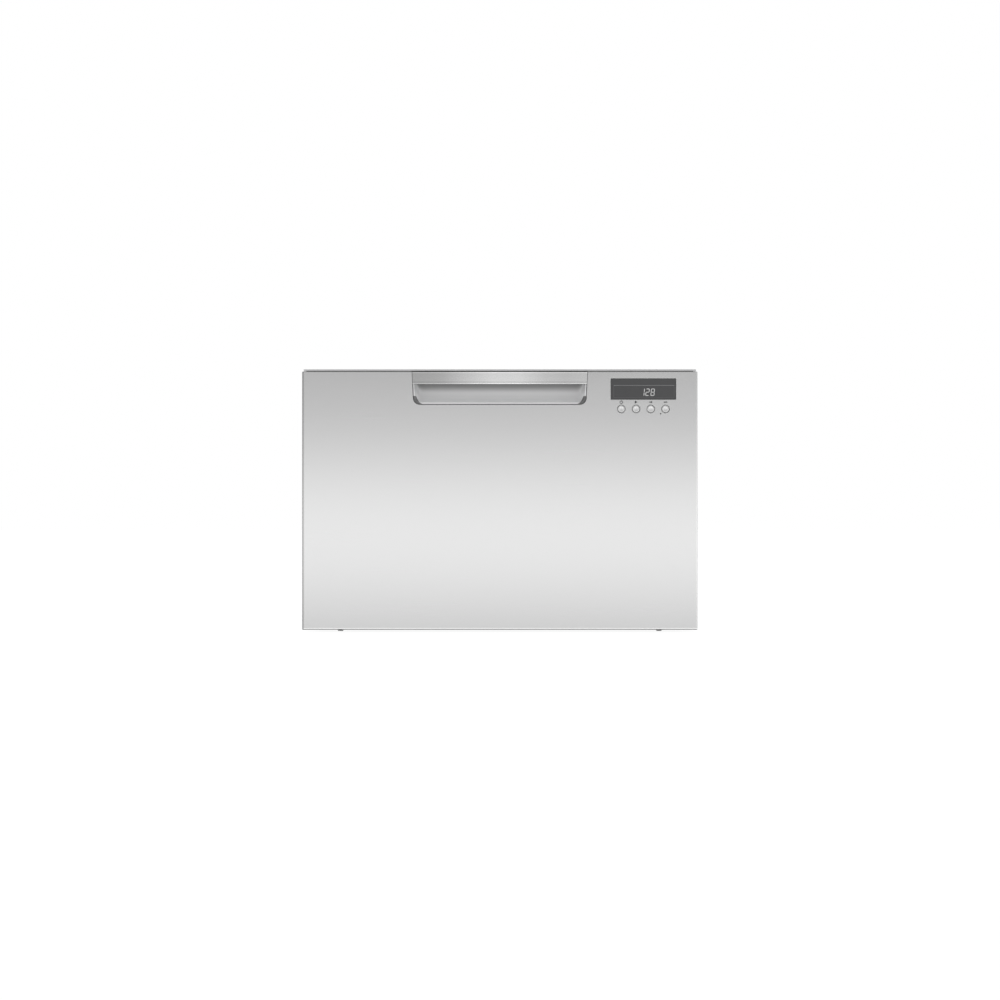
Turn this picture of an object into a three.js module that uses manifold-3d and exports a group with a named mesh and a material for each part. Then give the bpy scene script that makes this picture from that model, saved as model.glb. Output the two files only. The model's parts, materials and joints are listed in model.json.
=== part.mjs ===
// A single-drawer dishwasher: a steel chassis with a drawer that slides out on telescopic rails.
// Millimetres, +X to the right, +Y to the back, +Z up. The origin is on the floor, under the middle.
import * as THREE from "three";
import { mergeVertices } from "three/addons/utils/BufferGeometryUtils.js";
import Module from "manifold-3d";

const wasm = await Module();
wasm.setup();

// ---------------------------------------------------------------- driving dimensions
// Overall
const WIDTH = 599; // drawer front, side to side
const DEPTH = 573; // crown of the handle bar to the back of the chassis
const FRONT_HEIGHT = 391; // drawer front, top to bottom
const FLOOR_GAP = 4; // under the drawer front
const GAP = 0.3; // between pieces that touch
const SLIDE_GAP = 0.5; // between pieces that run past each other

// Drawer front
const SKIN = 1; // stainless sheet
const SKIN_BEND = 1.6; // bend radius round the edge of the skin
const SKIN_CORNER = 2.2;
const FRONT_THICKNESS = 20;
const FRONT_GAP = 3; // drawer front to chassis
const CAVITY = 38; // drawer front to the front wall of the tub
const FRAME_WEB = 4.2; // front wall of the plastic frame behind the skin
const FRAME_RIB = 3;
const FRAME_COLUMNS = 4; // pockets between the ribs of the frame
const FRAME_ROWS = 2;

// Handle
const HANDLE_WIDTH = 266.6; // at the top edge
const HANDLE_TAPER = 1.9; // each side, top to bottom
const HANDLE_DROP = 50; // top edge to the bottom of the pocket
const HANDLE_CORNER = 10;
const BAR_HEIGHT = 19;
const BAR_THICKNESS = 4.5;
const BAR_PROUD = 1.5; // the bar bows out this far past the skin
const POST_THICKNESS = 3; // at each end, behind the bar
const POST_DEPTH = 14;
const SCOOP_DEPTH = 29;
const SCOOP_LIP = 2.6; // rim of the pocket that shows round the scoop
const SCOOP_RISE = 27; // how far the floor of the scoop climbs towards the back
const SCOOP_DRAW = 11; // how far its ends draw in towards the back
const SCOOP_ARC = 0.96; // 1 would end the quarter ellipse square to the back
const POCKET_WALL = 2.4;
const POCKET_FLUSH = 0.9; // the rim stands this far forward, inside the edge of the skin

// Controls
const DISPLAY_WIDTH = 99;
const DISPLAY_HEIGHT = 32;
const DISPLAY_SHIFT = 1.1; // middle of the window, past the middle of the space beside the handle
const DISPLAY_DROP = 26.4; // top edge of the front to the middle of the window
const LENS_THICKNESS = 3;
const LENS_RECESS = 0.3; // face of the lens behind the skin
const SIGHT_MARGIN = 6; // the frame laps this far behind the lens, all round
const BUTTON_DIAMETER = 11.8;
const BUTTON_PITCH = 22.3;
const BUTTON_DROP = 56.6;
const BUTTON_PROUD = 0.9;
const BUTTON_TRAVEL = 1.2;
const BUTTON_CLEARANCE = 0.4; // round a button in the skin
const BOARD_MARGIN = 9; // round the window and buttons, in the frame's board bay
const BOARD_THICKNESS = 1.6;
const SWITCH_SIZE = 6;
const SWITCH_HEIGHT = 4;
const SWITCH_SETBACK = 3.5; // of the switches, from the button's travel behind the frame's web

// Chassis
const SHEET = 1.2;
const CHASSIS_INSET = 3.6; // the chassis is this much narrower than the drawer front, each side
const CHASSIS_RISE = 2; // top sheet above the drawer front
const CHASSIS_BOTTOM = 10;
const BASE_FLANGE = 16;
const TRIM = 2.2; // edging on the front of the chassis
const TRIM_DEPTH = 13;
const SWAGE_DEPTH = 1.4; // pressed stiffeners
const SWAGE_WIDTH = 26;
const SWAGE_MARGIN = 50; // from the front and back of the chassis
const SIDE_SWAGE_Z = [90, 300];
const TOP_SWAGE_X = [-150, 150];
const BACK_SWAGE_Z = [180, 300];
const PAN_WALL = 3;
const PAN_HEIGHT = 18;
const PAN_RIB = 4; // ribs stand this high on its floor
const PAN_RIB_REACH = 130; // cross ribs, from the middle of the tub
const PAN_LIP = 11; // front edge of the pan, lower so the drawer clears it
const BACK_CLEARANCE = 9; // back panel to tub

// Hose recess and connections, in the back panel
const RECESS_WIDTH = 180;
const RECESS_HEIGHT = 54;
const RECESS_DEPTH = 46;
const RECESS_INSET = 159.9; // middle of the recess, from the side of the chassis
const RECESS_Z = 35; // bottom of the recess
const INLET_DIAMETER = 26.4; // threaded hose union
const DRAIN_DIAMETER = 20;
const GLAND_DIAMETER = 16;
const INLET_OFFSET = 48; // from the middle of the recess
const DRAIN_OFFSET = -8;
const CORD_OFFSET = -58;
const CORD_BORE = 7.2;

// Power module, on the base pan
const MODULE_INSET = 134.9; // middle of the module, from the side of the chassis
const MODULE_WIDTH = 122;
const MODULE_DEPTH = 86;
const MODULE_HEIGHT = 36;

// Feet
const FOOT_DIAMETER = 38;
const FOOT_PAD = 8;
const STEM_DIAMETER = 10;
const STEM_LENGTH = 40;
const FOOT_INSET = 52; // from the side of the chassis
const FOOT_SETBACK = 48; // from the front and back of the chassis
const FOOT_BOSS = 24;

// Plates on the sides of the chassis, which take the screws into the cabinet
const BRACKET_SHEET = 1.5;
const BRACKET_WIDTH = 28;
const BRACKET_HEIGHT = 60;
const BRACKET_DROP = 19; // below the top of the chassis
const SCREW_SLOT = 5.4;
const SCREW_SLOT_LENGTH = 14;

// Rails
const RAIL_SETBACK = 30.5; // back of the chassis to the back end of the rails
const RAIL_HEIGHT = 44;
const RAIL_SHEET = 1.4;
const RAIL_STACK = 13.6; // outer, middle and inner rail together
const RAIL_Z = 200;

// Tub
const TUB_WALL = 3;
const TUB_FLANGE = 14;
const TUB_DRAFT = 7; // each wall leans in this much from the rim to the floor
const TUB_CORNER = 42;
const TUB_FLOOR_Z = 98;
const RIM_DROP = 39; // top of the drawer front to the rim of the tub
const FLANGE_THICKNESS = 4;
const TUB_RIB = 3;
const RIB_INSET = 52; // first rib from the corner of the tub
const FLOOR_RADIUS = 18; // between the walls and the floor of the tub
const SUMP_RADIUS = 118;
const SUMP_DEPTH = 21;

// Wash system
const MOTOR_DIAMETER = 132;
const MOTOR_HEIGHT = 36;
const SHAFT_DIAMETER = 10;
const SHAFT_CLEARANCE = 1.5; // round the shaft, in the sump
const IMPELLER_DIAMETER = 66;
const IMPELLER_VANES = 5;
const COVER_RADIUS = 46; // pump cover over the impeller
const SPIGOT_DIAMETER = 34;
const FILTER_RADIUS = 146;
const FILTER_THICKNESS = 2.4;
const FILTER_SLOTS = 16; // round the whole plate
const FILTER_SLOT = 6;
const BASKET_FILTER_DIAMETER = 54; // removable drain filter
const BASKET_FILTER_X = 84;
const ARM_RADIUS = 208;
const ARM_HEIGHT = 15;
const ARM_HUB = 50;
const ARM_SOCKET = 10; // how deep the hub sits over the spigot
const PUMP_DIAMETER = 56;
const PUMP_HEIGHT = 34;
const PUMP_OUTLET = 18; // diameter of the spigot for the drain hose
const PUMP_OUTLET_WALL = 2.5;
const PUMP_OUTLET_REACH = 30;
const PUMP_X = -100;

// Lid
const LID_HEIGHT = 19;
const LID_LIFT = 10; // off the rim of the tub
const LID_SHELL = 2.6;
const LID_CORNER = 12;
const LID_CROWN = 34; // edge of the lid to its flat top
const LID_BARS_X = [-90, 90]; // stiffeners under the lid
const SEAL_WIDTH = 8;
const SEAL_HEIGHT = 6;
const HOOD_LAP = 4; // console hood on the front flange of the tub
const HOOD_WALL = 2.4;
const GEAR_MODULE = 1;
const PINION_TEETH = 10;
const GEAR_WIDTH = 5;
const PINION_AXLE = 3.2;
const BACKLASH = 0.35; // total, at the pitch line
const ACTUATOR_Y = -110; // from the middle of the tub
const ACTUATOR_PLATE = [16, 22]; // in front of and behind the pinion
const CAN_DROP = 12; // rim of the tub to the axis of the motor can
const CAN_REACH = [44, 20]; // in front of and behind the pinion

// Racks
const RACK_FLOOR_Z = 138; // top of the lattice
const RACK_RIB = 4;
const RACK_FLOOR_DEPTH = 7;
const RACK_WALL = 3;
const RACK_HEIGHT = 46; // of the wall above the lattice
const RACK_FLARE = 3; // the wall leans out this much
const RACK_CLEARANCE = 9; // rack to tub wall
const RACK_CORNER = 24;
const PAD_REACH = 43; // pads in the corners of the tub that carry the rack
const RACK_LANES = 8; // cells of the lattice, each way
const RACK_WINDOWS = 4; // openings in each wall
const TINE_HEIGHT = 74;
const TINE_WIDTH = 4.4;
const TINE_BAR = 6; // diameter of the bar that a row folds about
const TINE_COUNT = 10;
const TINE_PITCH = 35;
const TINE_ROW_INSET = [34.1, 128.1]; // from the side of the rack
const CUP_RACK_Z = 252;
const CUP_RACK_WIDTH = 94;
const CUP_RACK_LENGTH = 370;
const CUP_RACK_SLOTS = 5;
const CUP_RACK_THICKNESS = 4;
const CUP_RACK_RIB = 5;
const CUP_HINGE = 6; // diameter of the bar along its hinge
const CUP_ARM = 13; // from the hinge to the shelf, so the shelf swings clear of the clips
const CLIP_WIDTH = 14;
const CLIP_HEIGHT = 16;
const CLIP_WALL = 1.5;
const CLIP_INSET = 56; // from the end of the cup rack
const CUTLERY_WIDTH = 92;
const CUTLERY_LENGTH = 236;
const CUTLERY_HEIGHT = 108;
const CUTLERY_WALL = 2;
const CUTLERY_CELLS = 4;
const CUTLERY_SLOTS = 4; // in each side
const CUTLERY_HANDLE = 34; // above the rim
const CUTLERY_CORNER = 12;
const CUTLERY_TAPER = 4; // each side, rim to bottom
const CUTLERY_RAIL = 8; // height of the bar of the handle
const SLOT_FOOT = 12; // bottom of the basket to its slots
const SLOT_TOP = 52;
const SLOT_INSET = 30; // end of the basket to the middle of its first slot
const SLOT_WIDTH = 24;

// Detergent and rinse aid
const DISPENSER_WIDTH = 168;
const DISPENSER_HEIGHT = 70;
const DISPENSER_DEPTH = 22;
const DISPENSER_DROP = 20; // rim of the tub to the top of the dispenser
const DISPENSER_MARGIN = 12;
const SEAT_THICKNESS = 1; // flat seat on the tub wall, at its thinnest
const CUP_WIDTH = 82;
const CUP_HEIGHT = 48;
const DOOR_THICKNESS = 3;
const KNUCKLE_RADIUS = 2.6;
const HINGE_PIN = 2; // diameter
const CAP_DIAMETER = 40;

// Drying fan
const FAN_DIAMETER = 64;
const FAN_INSET = 76; // middle of the wheel, from the side of the dispenser
const FAN_DROP = 88; // rim of the tub to the middle of the wheel
const FAN_BLADES = 8;
const FAN_AXLE = 6;
const FAN_WALL = 2.4;
const FAN_MARGIN = 8; // wheel to the outside of the scroll
const FAN_GAP = 4; // scroll to tub
const FAN_EYE = 36;
const DUCT_WIDTH = 34;
const VENT_DIAMETER = 42;
const VENT_BORE = 24;

// ---------------------------------------------------------------- places worked out from them
const skinFront = -DEPTH / 2 + BAR_PROUD;
const frontTop = FLOOR_GAP + FRONT_HEIGHT;
const frameBack = skinFront + FRONT_THICKNESS;
const chassisFront = frameBack + FRONT_GAP;
const chassisBack = DEPTH / 2;
const chassisHalf = WIDTH / 2 - CHASSIS_INSET;
const chassisInner = chassisHalf - SHEET;
const recessX = chassisHalf - RECESS_INSET;
const moduleX = MODULE_INSET - chassisHalf;
const chassisTop = frontTop + CHASSIS_RISE;
const ceiling = chassisTop - SHEET - SWAGE_DEPTH;
const rimZ = frontTop - RIM_DROP;

const railWall = chassisInner - SWAGE_DEPTH - GAP; // outer face of the fixed rail
const railFront = chassisFront + TRIM_DEPTH;
const railBack = chassisBack - RAIL_SETBACK;
const flangeHalf = railWall - RAIL_STACK - GAP; // tub flange and ribs
const tubHalf = flangeHalf - TUB_FLANGE;
const tubFront = frameBack + CAVITY;
const tubBack = chassisBack - SHEET - SWAGE_DEPTH - BACK_CLEARANCE - TUB_FLANGE;
const tubY = (tubFront + tubBack) / 2;
const tubDepthHalf = (tubBack - tubFront) / 2;
const tubBottom = TUB_FLOOR_Z - TUB_WALL;
const sumpFloor = TUB_FLOOR_Z - SUMP_DEPTH;
const sumpBottom = sumpFloor - TUB_WALL;
const panFloor = CHASSIS_BOTTOM + SHEET + GAP;

const hoodBack = tubFront - TUB_FLANGE + HOOD_LAP;
const lidFront = hoodBack + FRONT_GAP;
const lidBack = tubBack + TUB_FLANGE;
const lidHalf = flangeHalf - 1.5;
const lidBottom = rimZ + SLIDE_GAP + SEAL_HEIGHT;
const lidTop = lidBottom + LID_HEIGHT;

const displayX = (WIDTH + HANDLE_WIDTH) / 4 + DISPLAY_SHIFT;
const displayZ = frontTop - DISPLAY_DROP;
const buttonZ = frontTop - BUTTON_DROP;
const buttonX = [-1.5, -0.5, 0.5, 1.5].map((step) => displayX + step * BUTTON_PITCH);
const webBack = skinFront + SKIN + GAP + FRAME_WEB;
const lensBack = skinFront + LENS_RECESS + LENS_THICKNESS;
const shaftEnd = sumpBottom - GAP - MOTOR_HEIGHT * 0.6;
const filterZ = TUB_FLOOR_Z + 1.2;
const armZ = filterZ + FILTER_THICKNESS + 4;
const pinionRadius = (GEAR_MODULE * PINION_TEETH) / 2;

const wallInnerFront = tubFront + TUB_WALL;
const dispenserTop = rimZ - DISPENSER_DROP;
const dispenserBottom = dispenserTop - DISPENSER_HEIGHT;
const dispenserLeft = -DISPENSER_WIDTH / 2;
// The front wall of the tub leans in, so the seat clears it at the dispenser's foot.
const dispenserLean = (TUB_DRAFT * (rimZ - dispenserBottom)) / (rimZ - TUB_FLOOR_Z);
const dispenserBack = wallInnerFront + dispenserLean + SEAT_THICKNESS;
const dispenserFace = dispenserBack + DISPENSER_DEPTH;
const cupLeft = dispenserLeft + DISPENSER_MARGIN;
const cupBottom = dispenserBottom + DISPENSER_MARGIN;
const doorY = dispenserFace + GAP;
const hingeY = doorY + KNUCKLE_RADIUS;
const hingeZ = cupBottom - 2;
const capX = -dispenserLeft - DISPENSER_MARGIN - CAP_DIAMETER / 2;
const capZ = (dispenserTop + dispenserBottom) / 2;

const fanFront = frameBack + GAP;
const fanBack = tubFront - FAN_GAP;
const fanX = dispenserLeft - FAN_INSET;
const fanZ = rimZ - FAN_DROP;
const scrollRadius = FAN_DIAMETER / 2 + FAN_MARGIN;
const ventX = fanX + scrollRadius - DUCT_WIDTH / 2;
const ventZ = fanZ + scrollRadius;

// ---------------------------------------------------------------- solids
// Turns any closed geometry into a solid that can be joined and cut.
function solid(geometry) {
  const loose = geometry.index ? geometry.toNonIndexed() : geometry;
  const points = new THREE.BufferGeometry().setAttribute("position", loose.getAttribute("position"));
  const merged = mergeVertices(points, 1e-3);
  return new wasm.Manifold(
    new wasm.Mesh({
      numProp: 3,
      vertProperties: merged.getAttribute("position").array,
      triVerts: new Uint32Array(merged.index.array),
    }),
  );
}

// Turns a solid back into a geometry with flat faces.
function geometryOf(manifold) {
  const { vertProperties, triVerts } = manifold.getMesh();
  const indexed = new THREE.BufferGeometry();
  indexed.setAttribute("position", new THREE.BufferAttribute(vertProperties, 3));
  indexed.setIndex(new THREE.BufferAttribute(triVerts, 1));
  const flat = indexed.toNonIndexed();
  flat.computeVertexNormals();
  return flat;
}

const joined = (solids) => solids.reduce((all, next) => all.add(next));
const span = (a, b) => [Math.min(a, b), Math.max(a, b)];
const cutBy = (body, tools) => tools.reduce((left, tool) => left.subtract(tool), body);
const spaced = (count, from, to) =>
  Array.from({ length: count }, (_, i) => from + ((to - from) * i) / (count - 1));

// A block between pairs of X, Y and Z values.
function block([x0, x1], [y0, y1], [z0, z1]) {
  const geometry = new THREE.BoxGeometry(x1 - x0, y1 - y0, z1 - z0);
  return solid(geometry.translate((x0 + x1) / 2, (y0 + y1) / 2, (z0 + z1) / 2));
}

// Shapes drawn in a plane are pushed along the axis that stands on it:
// (X, Y) along Z, (X, Z) along Y and (Y, Z) along X.
const STAND = {
  z: new THREE.Matrix4(),
  y: new THREE.Matrix4().makeRotationX(Math.PI / 2),
  x: new THREE.Matrix4().makeBasis(
    new THREE.Vector3(0, 1, 0),
    new THREE.Vector3(0, 0, 1),
    new THREE.Vector3(1, 0, 0),
  ),
};
function extrude(axis, shape, from, to, curveSegments = 4) {
  const geometry = new THREE.ExtrudeGeometry(shape, {
    depth: to - from,
    bevelEnabled: false,
    curveSegments,
  });
  // Pushing (X, Z) along the plane's own normal runs towards -Y, so that one starts at its far end.
  geometry.translate(0, 0, axis === "y" ? -to : from);
  return solid(geometry.applyMatrix4(STAND[axis]));
}

// A solid through outlines at successive heights along an axis, all with the same number of points.
function loft(axis, layers) {
  const sign = axis === "y" ? -1 : 1;
  const ordered = layers.map(({ at, outline }) => ({ height: sign * at, outline }));
  if (ordered[0].height > ordered.at(-1).height) ordered.reverse();
  const count = ordered[0].outline.length;
  const positions = ordered.flatMap(({ height, outline }) => outline.flatMap((p) => [p.x, p.y, height]));
  const faces = [];
  for (let layer = 0; layer < ordered.length - 1; layer++) {
    for (let i = 0; i < count; i++) {
      const [a, b] = [layer * count + i, layer * count + ((i + 1) % count)];
      faces.push(a, b, b + count, a, b + count, a + count);
    }
  }
  const last = (ordered.length - 1) * count;
  for (const [a, b, c] of THREE.ShapeUtils.triangulateShape(ordered[0].outline, [])) faces.push(c, b, a);
  for (const [a, b, c] of THREE.ShapeUtils.triangulateShape(ordered.at(-1).outline, []))
    faces.push(last + a, last + b, last + c);
  const geometry = new THREE.BufferGeometry();
  geometry.setAttribute("position", new THREE.Float32BufferAttribute(positions, 3));
  geometry.setIndex(faces);
  return solid(geometry.applyMatrix4(STAND[axis]));
}

// A solid of revolution about the upright through (x, y), from [radius, height] pairs.
function turned(profile, x = 0, y = 0, segments = 32) {
  const points = profile.map(([radius, height]) => new THREE.Vector2(radius, height));
  const geometry = new THREE.LatheGeometry(points, segments).rotateX(Math.PI / 2);
  return solid(geometry.translate(x, y, 0));
}

// The same about a line along Y, with the profile's heights measured along +Y.
function turnedAlongY(profile, x, z, segments = 24) {
  const points = profile.map(([radius, height]) => new THREE.Vector2(radius, height));
  return solid(new THREE.LatheGeometry(points, segments).translate(x, 0, z));
}

// A round rod from one point to another.
function rod(from, to, radius, sides = 6) {
  const [a, b] = [new THREE.Vector3(...from), new THREE.Vector3(...to)];
  const length = a.distanceTo(b);
  const turn = new THREE.Quaternion().setFromUnitVectors(
    new THREE.Vector3(0, 1, 0),
    b.clone().sub(a).normalize(),
  );
  const geometry = new THREE.CylinderGeometry(radius, radius, length, sides);
  const middle = a.add(b).multiplyScalar(0.5);
  return solid(geometry.applyQuaternion(turn).translate(middle.x, middle.y, middle.z));
}

// ---------------------------------------------------------------- outlines
const rectangle = ([x0, x1], [y0, y1]) =>
  new THREE.Shape([
    new THREE.Vector2(x0, y0),
    new THREE.Vector2(x1, y0),
    new THREE.Vector2(x1, y1),
    new THREE.Vector2(x0, y1),
  ]);

const square = (x, y, half) => rectangle([x - half, x + half], [y - half, y + half]).getPoints();

function disc(x, y, radius) {
  return new THREE.Shape().absarc(x, y, radius, 0, 2 * Math.PI, false);
}

// The points of a rectangle with round corners, anticlockwise, the same number whatever the radius.
function roundCorners([x0, x1], [y0, y1], radius, steps = 4) {
  const corners = [
    [x1 - radius, y1 - radius, 0],
    [x0 + radius, y1 - radius, 1],
    [x0 + radius, y0 + radius, 2],
    [x1 - radius, y0 + radius, 3],
  ];
  return corners.flatMap(([x, y, quarter]) =>
    Array.from({ length: steps + 1 }, (_, i) => {
      const angle = ((quarter + i / steps) * Math.PI) / 2;
      return new THREE.Vector2(x + radius * Math.cos(angle), y + radius * Math.sin(angle));
    }),
  );
}
const roundedShape = (x, y, radius, steps) => new THREE.Shape(roundCorners(x, y, radius, steps));

// The handle's opening in the drawer front, drawn in by an inset and by another at its foot.
// It runs out past the top.
function handleOutline(inset, footInset = inset, above = 2, steps = 3) {
  const half = HANDLE_WIDTH / 2;
  const foot = frontTop - HANDLE_DROP + footInset;
  const lean = HANDLE_TAPER / HANDLE_DROP;
  const halfAt = (z) => half - inset - (frontTop - z) * lean;
  const radius = Math.max(HANDLE_CORNER - inset, 2);
  const corner = (side) =>
    Array.from({ length: steps + 1 }, (_, i) => {
      const angle = (i / steps) * (Math.PI / 2);
      const [back, up] = [radius * (1 - Math.cos(angle)), radius * (1 - Math.sin(angle))];
      return new THREE.Vector2(side * (halfAt(foot) - back), foot + up);
    });
  const top = frontTop + above;
  return [
    new THREE.Vector2(halfAt(top), top),
    new THREE.Vector2(-halfAt(top), top),
    ...corner(-1),
    ...corner(1).reverse(),
  ];
}

// ---------------------------------------------------------------- meshes and groups
const object = new THREE.Group();
const drawer = new THREE.Group();
const chassis = new THREE.Group();
object.add(chassis, drawer);

const finish = (color, roughness, metalness = 0) =>
  new THREE.MeshStandardMaterial({ color, roughness, metalness });
const finishes = {
  stainless: () => finish(0xc9cacb, 0.32, 1),
  galvanised: () => finish(0xb4b8bb, 0.45, 0.9),
  darkPlastic: () => finish(0x2f3133, 0.5),
  greyPlastic: () => finish(0x9da1a4, 0.5),
  palePlastic: () => finish(0xd9dbdc, 0.45),
  rackPlastic: () => finish(0x8d9296, 0.4),
  rubber: () => finish(0x26282a, 0.8),
  glass: () => finish(0x3b3c3d, 0.12),
  board: () => finish(0x2c5a3c, 0.6),
};

function place(group, name, made, look) {
  const mesh = new THREE.Mesh(geometryOf(made), finishes[look]());
  mesh.name = name;
  group.add(mesh);
  return mesh;
}

// ---------------------------------------------------------------- drawer front
// A slab that faces the front, with bent edges.
function bentSlab(inset, bend, front, back) {
  const half = WIDTH / 2 - inset;
  const [foot, top] = [FLOOR_GAP + inset, frontTop - inset];
  const layer = (at, more) => ({
    at,
    outline: roundCorners([-half + more, half - more], [foot + more, top - more], SKIN_CORNER, 2),
  });
  return loft("y", [
    layer(front, bend),
    layer(front + bend * 0.29, bend * 0.29),
    layer(front + bend, 0),
    layer(back, 0),
  ]);
}

const controlsLeft = Math.min(displayX - DISPLAY_WIDTH / 2, buttonX[0]) - BOARD_MARGIN;
const controlsRight = Math.max(displayX + DISPLAY_WIDTH / 2, buttonX.at(-1)) + BOARD_MARGIN;
const controlsTop = displayZ + DISPLAY_HEIGHT / 2 - 1;
const controlsBottom = buttonZ - BUTTON_DIAMETER / 2 - BOARD_MARGIN;
const displaySpan = (margin) => [
  [displayX - DISPLAY_WIDTH / 2 - margin, displayX + DISPLAY_WIDTH / 2 + margin],
  [displayZ - DISPLAY_HEIGHT / 2 - margin, displayZ + DISPLAY_HEIGHT / 2 + margin],
];

const buttonHole = (x) => disc(x, buttonZ, BUTTON_DIAMETER / 2 + BUTTON_CLEARANCE);

function frontSkin() {
  const outer = bentSlab(0, SKIN_BEND, skinFront, frameBack);
  const inner = bentSlab(SKIN, SKIN_BEND - SKIN, skinFront + SKIN, frameBack + 1);
  const handle = extrude("y", new THREE.Shape(handleOutline(0)), skinFront - 1, frameBack + 1);
  const window = extrude("y", rectangle(...displaySpan(0)), skinFront - 1, skinFront + SKIN + 1);
  const holes = buttonX.map((x) => extrude("y", buttonHole(x), skinFront - 1, skinFront + SKIN + 1, 8));
  return cutBy(outer, [inner, handle, window, ...holes]);
}

function frontFrame() {
  const start = skinFront + SKIN + GAP;
  const inset = SKIN + GAP;
  const body = bentSlab(inset, 0.3, start, frameBack);
  const handle = extrude("y", new THREE.Shape(handleOutline(0)), start - 1, frameBack + 1);
  const lens = extrude("y", rectangle(...displaySpan(GAP)), start - 1, lensBack + GAP);
  const sight = extrude("y", rectangle(...displaySpan(-SIGHT_MARGIN)), start - 1, frameBack + 1);
  const bay = block([controlsLeft, controlsRight], [webBack, frameBack + 1], [controlsBottom, controlsTop]);
  const sockets = buttonX.map((x) => extrude("y", buttonHole(x), start - 1, webBack + 1, 7));
  return cutBy(body, [handle, lens, sight, bay, ...sockets, ...framePockets()]);
}

// The back of the frame is cored out between ribs, below the handle and the controls.
function framePockets() {
  const [left, right] = [-WIDTH / 2 + 14, WIDTH / 2 - 14];
  const [bottom, top] = [FLOOR_GAP + 14, controlsBottom - FRAME_RIB * 2];
  const width = (right - left - FRAME_RIB * (FRAME_COLUMNS - 1)) / FRAME_COLUMNS;
  const height = (top - bottom - FRAME_RIB * (FRAME_ROWS - 1)) / FRAME_ROWS;
  const pockets = [];
  for (let column = 0; column < FRAME_COLUMNS; column++) {
    for (let row = 0; row < FRAME_ROWS; row++) {
      const x = left + column * (width + FRAME_RIB);
      const z = bottom + row * (height + FRAME_RIB);
      pockets.push(block([x, x + width], [webBack, frameBack + 1], [z, z + height]));
    }
  }
  return pockets;
}

// The scoop curves in from the rim on a quarter ellipse, so the floor climbs and the ends draw in.
function scoopInset(depth, wall) {
  const curve = 1 - Math.sqrt(1 - SCOOP_ARC * depth * depth);
  const lip = SCOOP_LIP - wall;
  return [Math.max(lip + SCOOP_DRAW * curve, GAP), Math.max(lip + SCOOP_RISE * curve, GAP)];
}
function scoopLayers(wall, front) {
  const layers = spaced(6, 0, 1).map((depth) => ({
    at: skinFront + SCOOP_DEPTH * depth,
    outline: handleOutline(...scoopInset(depth, wall)),
  }));
  const end = layers.at(-1);
  const back = wall ? [{ at: end.at + wall, outline: end.outline }] : [];
  return [{ at: front, outline: layers[0].outline }, ...layers.slice(1), ...back];
}

function handlePocket() {
  const face = skinFront + SKIN + GAP - POCKET_FLUSH;
  const rim = extrude("y", new THREE.Shape(handleOutline(GAP)), face, face + POCKET_WALL);
  const shell = loft("y", scoopLayers(POCKET_WALL, face));
  const scoop = loft("y", scoopLayers(0, skinFront - 2));
  const across = [-WIDTH / 2, WIDTH / 2];
  const barSlot = block(
    across,
    [skinFront - 5, skinFront + BAR_THICKNESS + GAP],
    [frontTop - BAR_HEIGHT - GAP, frontTop + 1],
  );
  const aboveTop = block(across, [skinFront - 5, frameBack + CAVITY], [frontTop - GAP, frontTop + 10]);
  return cutBy(rim.add(shell), [scoop, barSlot, aboveTop]);
}

function handleBar() {
  const half = HANDLE_WIDTH / 2;
  const bar = loft(
    "x",
    spaced(9, -1, 1).map((share) => {
      const y = [skinFront - BAR_PROUD * (1 - share * share), skinFront + BAR_THICKNESS];
      return { at: share * half, outline: roundCorners(y, [frontTop - BAR_HEIGHT, frontTop], 1.4, 2) };
    }),
  );
  const opening = extrude("y", new THREE.Shape(handleOutline(2 * GAP)), skinFront - 10, skinFront + 30);
  // A post behind each end carries the bar from the back of the scoop's side.
  const reach = half - SCOOP_LIP - HANDLE_TAPER - 2 * GAP;
  const posts = [-1, 1].map((side) =>
    block(
      span(side * (reach - POST_THICKNESS), side * reach),
      [skinFront + 1, skinFront + POST_DEPTH],
      [frontTop - BAR_HEIGHT + 3, frontTop - 3],
    ),
  );
  return joined([bar.intersect(opening), ...posts]);
}

function displayLens() {
  const [x, z] = displaySpan(-GAP);
  const front = skinFront + LENS_RECESS;
  return extrude("y", roundedShape(x, z, 0.8, 2), front, front + LENS_THICKNESS);
}

const switchTop = webBack + BUTTON_TRAVEL + SWITCH_SETBACK; // their plungers give with the buttons
const boardFront = switchTop + SWITCH_HEIGHT;
function controlBoard() {
  const margin = 1;
  const board = block(
    [controlsLeft + margin, controlsRight - margin],
    [boardFront, boardFront + BOARD_THICKNESS],
    [controlsBottom + margin, controlsTop - margin],
  );
  const [x, z] = displaySpan(-SIGHT_MARGIN - 1);
  const readout = block(x, [lensBack + GAP, boardFront + 0.2], z);
  const half = SWITCH_SIZE / 2;
  const [tip, shoulder] = [switchTop + BUTTON_TRAVEL, switchTop + BUTTON_TRAVEL + 1];
  const switches = buttonX.flatMap((middle) => [
    block([middle - half, middle + half], [shoulder, boardFront + 0.2], [buttonZ - half, buttonZ + half]),
    turnedAlongY([[0, tip], [1.7, tip], [1.7, tip + 1.5], [0, tip + 1.5]], middle, buttonZ, 8),
  ]);
  return joined([board, readout, ...switches]);
}

function button(x) {
  const radius = BUTTON_DIAMETER / 2;
  const face = skinFront - BUTTON_PROUD;
  const flange = webBack + GAP;
  const stemEnd = switchTop - GAP;
  // A shallow dish in the face, and a flange behind the frame that keeps the button in.
  const profile = [
    [0, face + 0.3],
    [radius - 1.2, face],
    [radius, face + 0.8],
    [radius, flange],
    [radius + 1.4, flange],
    [radius + 1.4, flange + 1.2],
    [2, flange + 1.2],
    [2, stemEnd],
    [0, stemEnd],
  ];
  return turnedAlongY(profile, x, buttonZ, 12);
}

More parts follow.
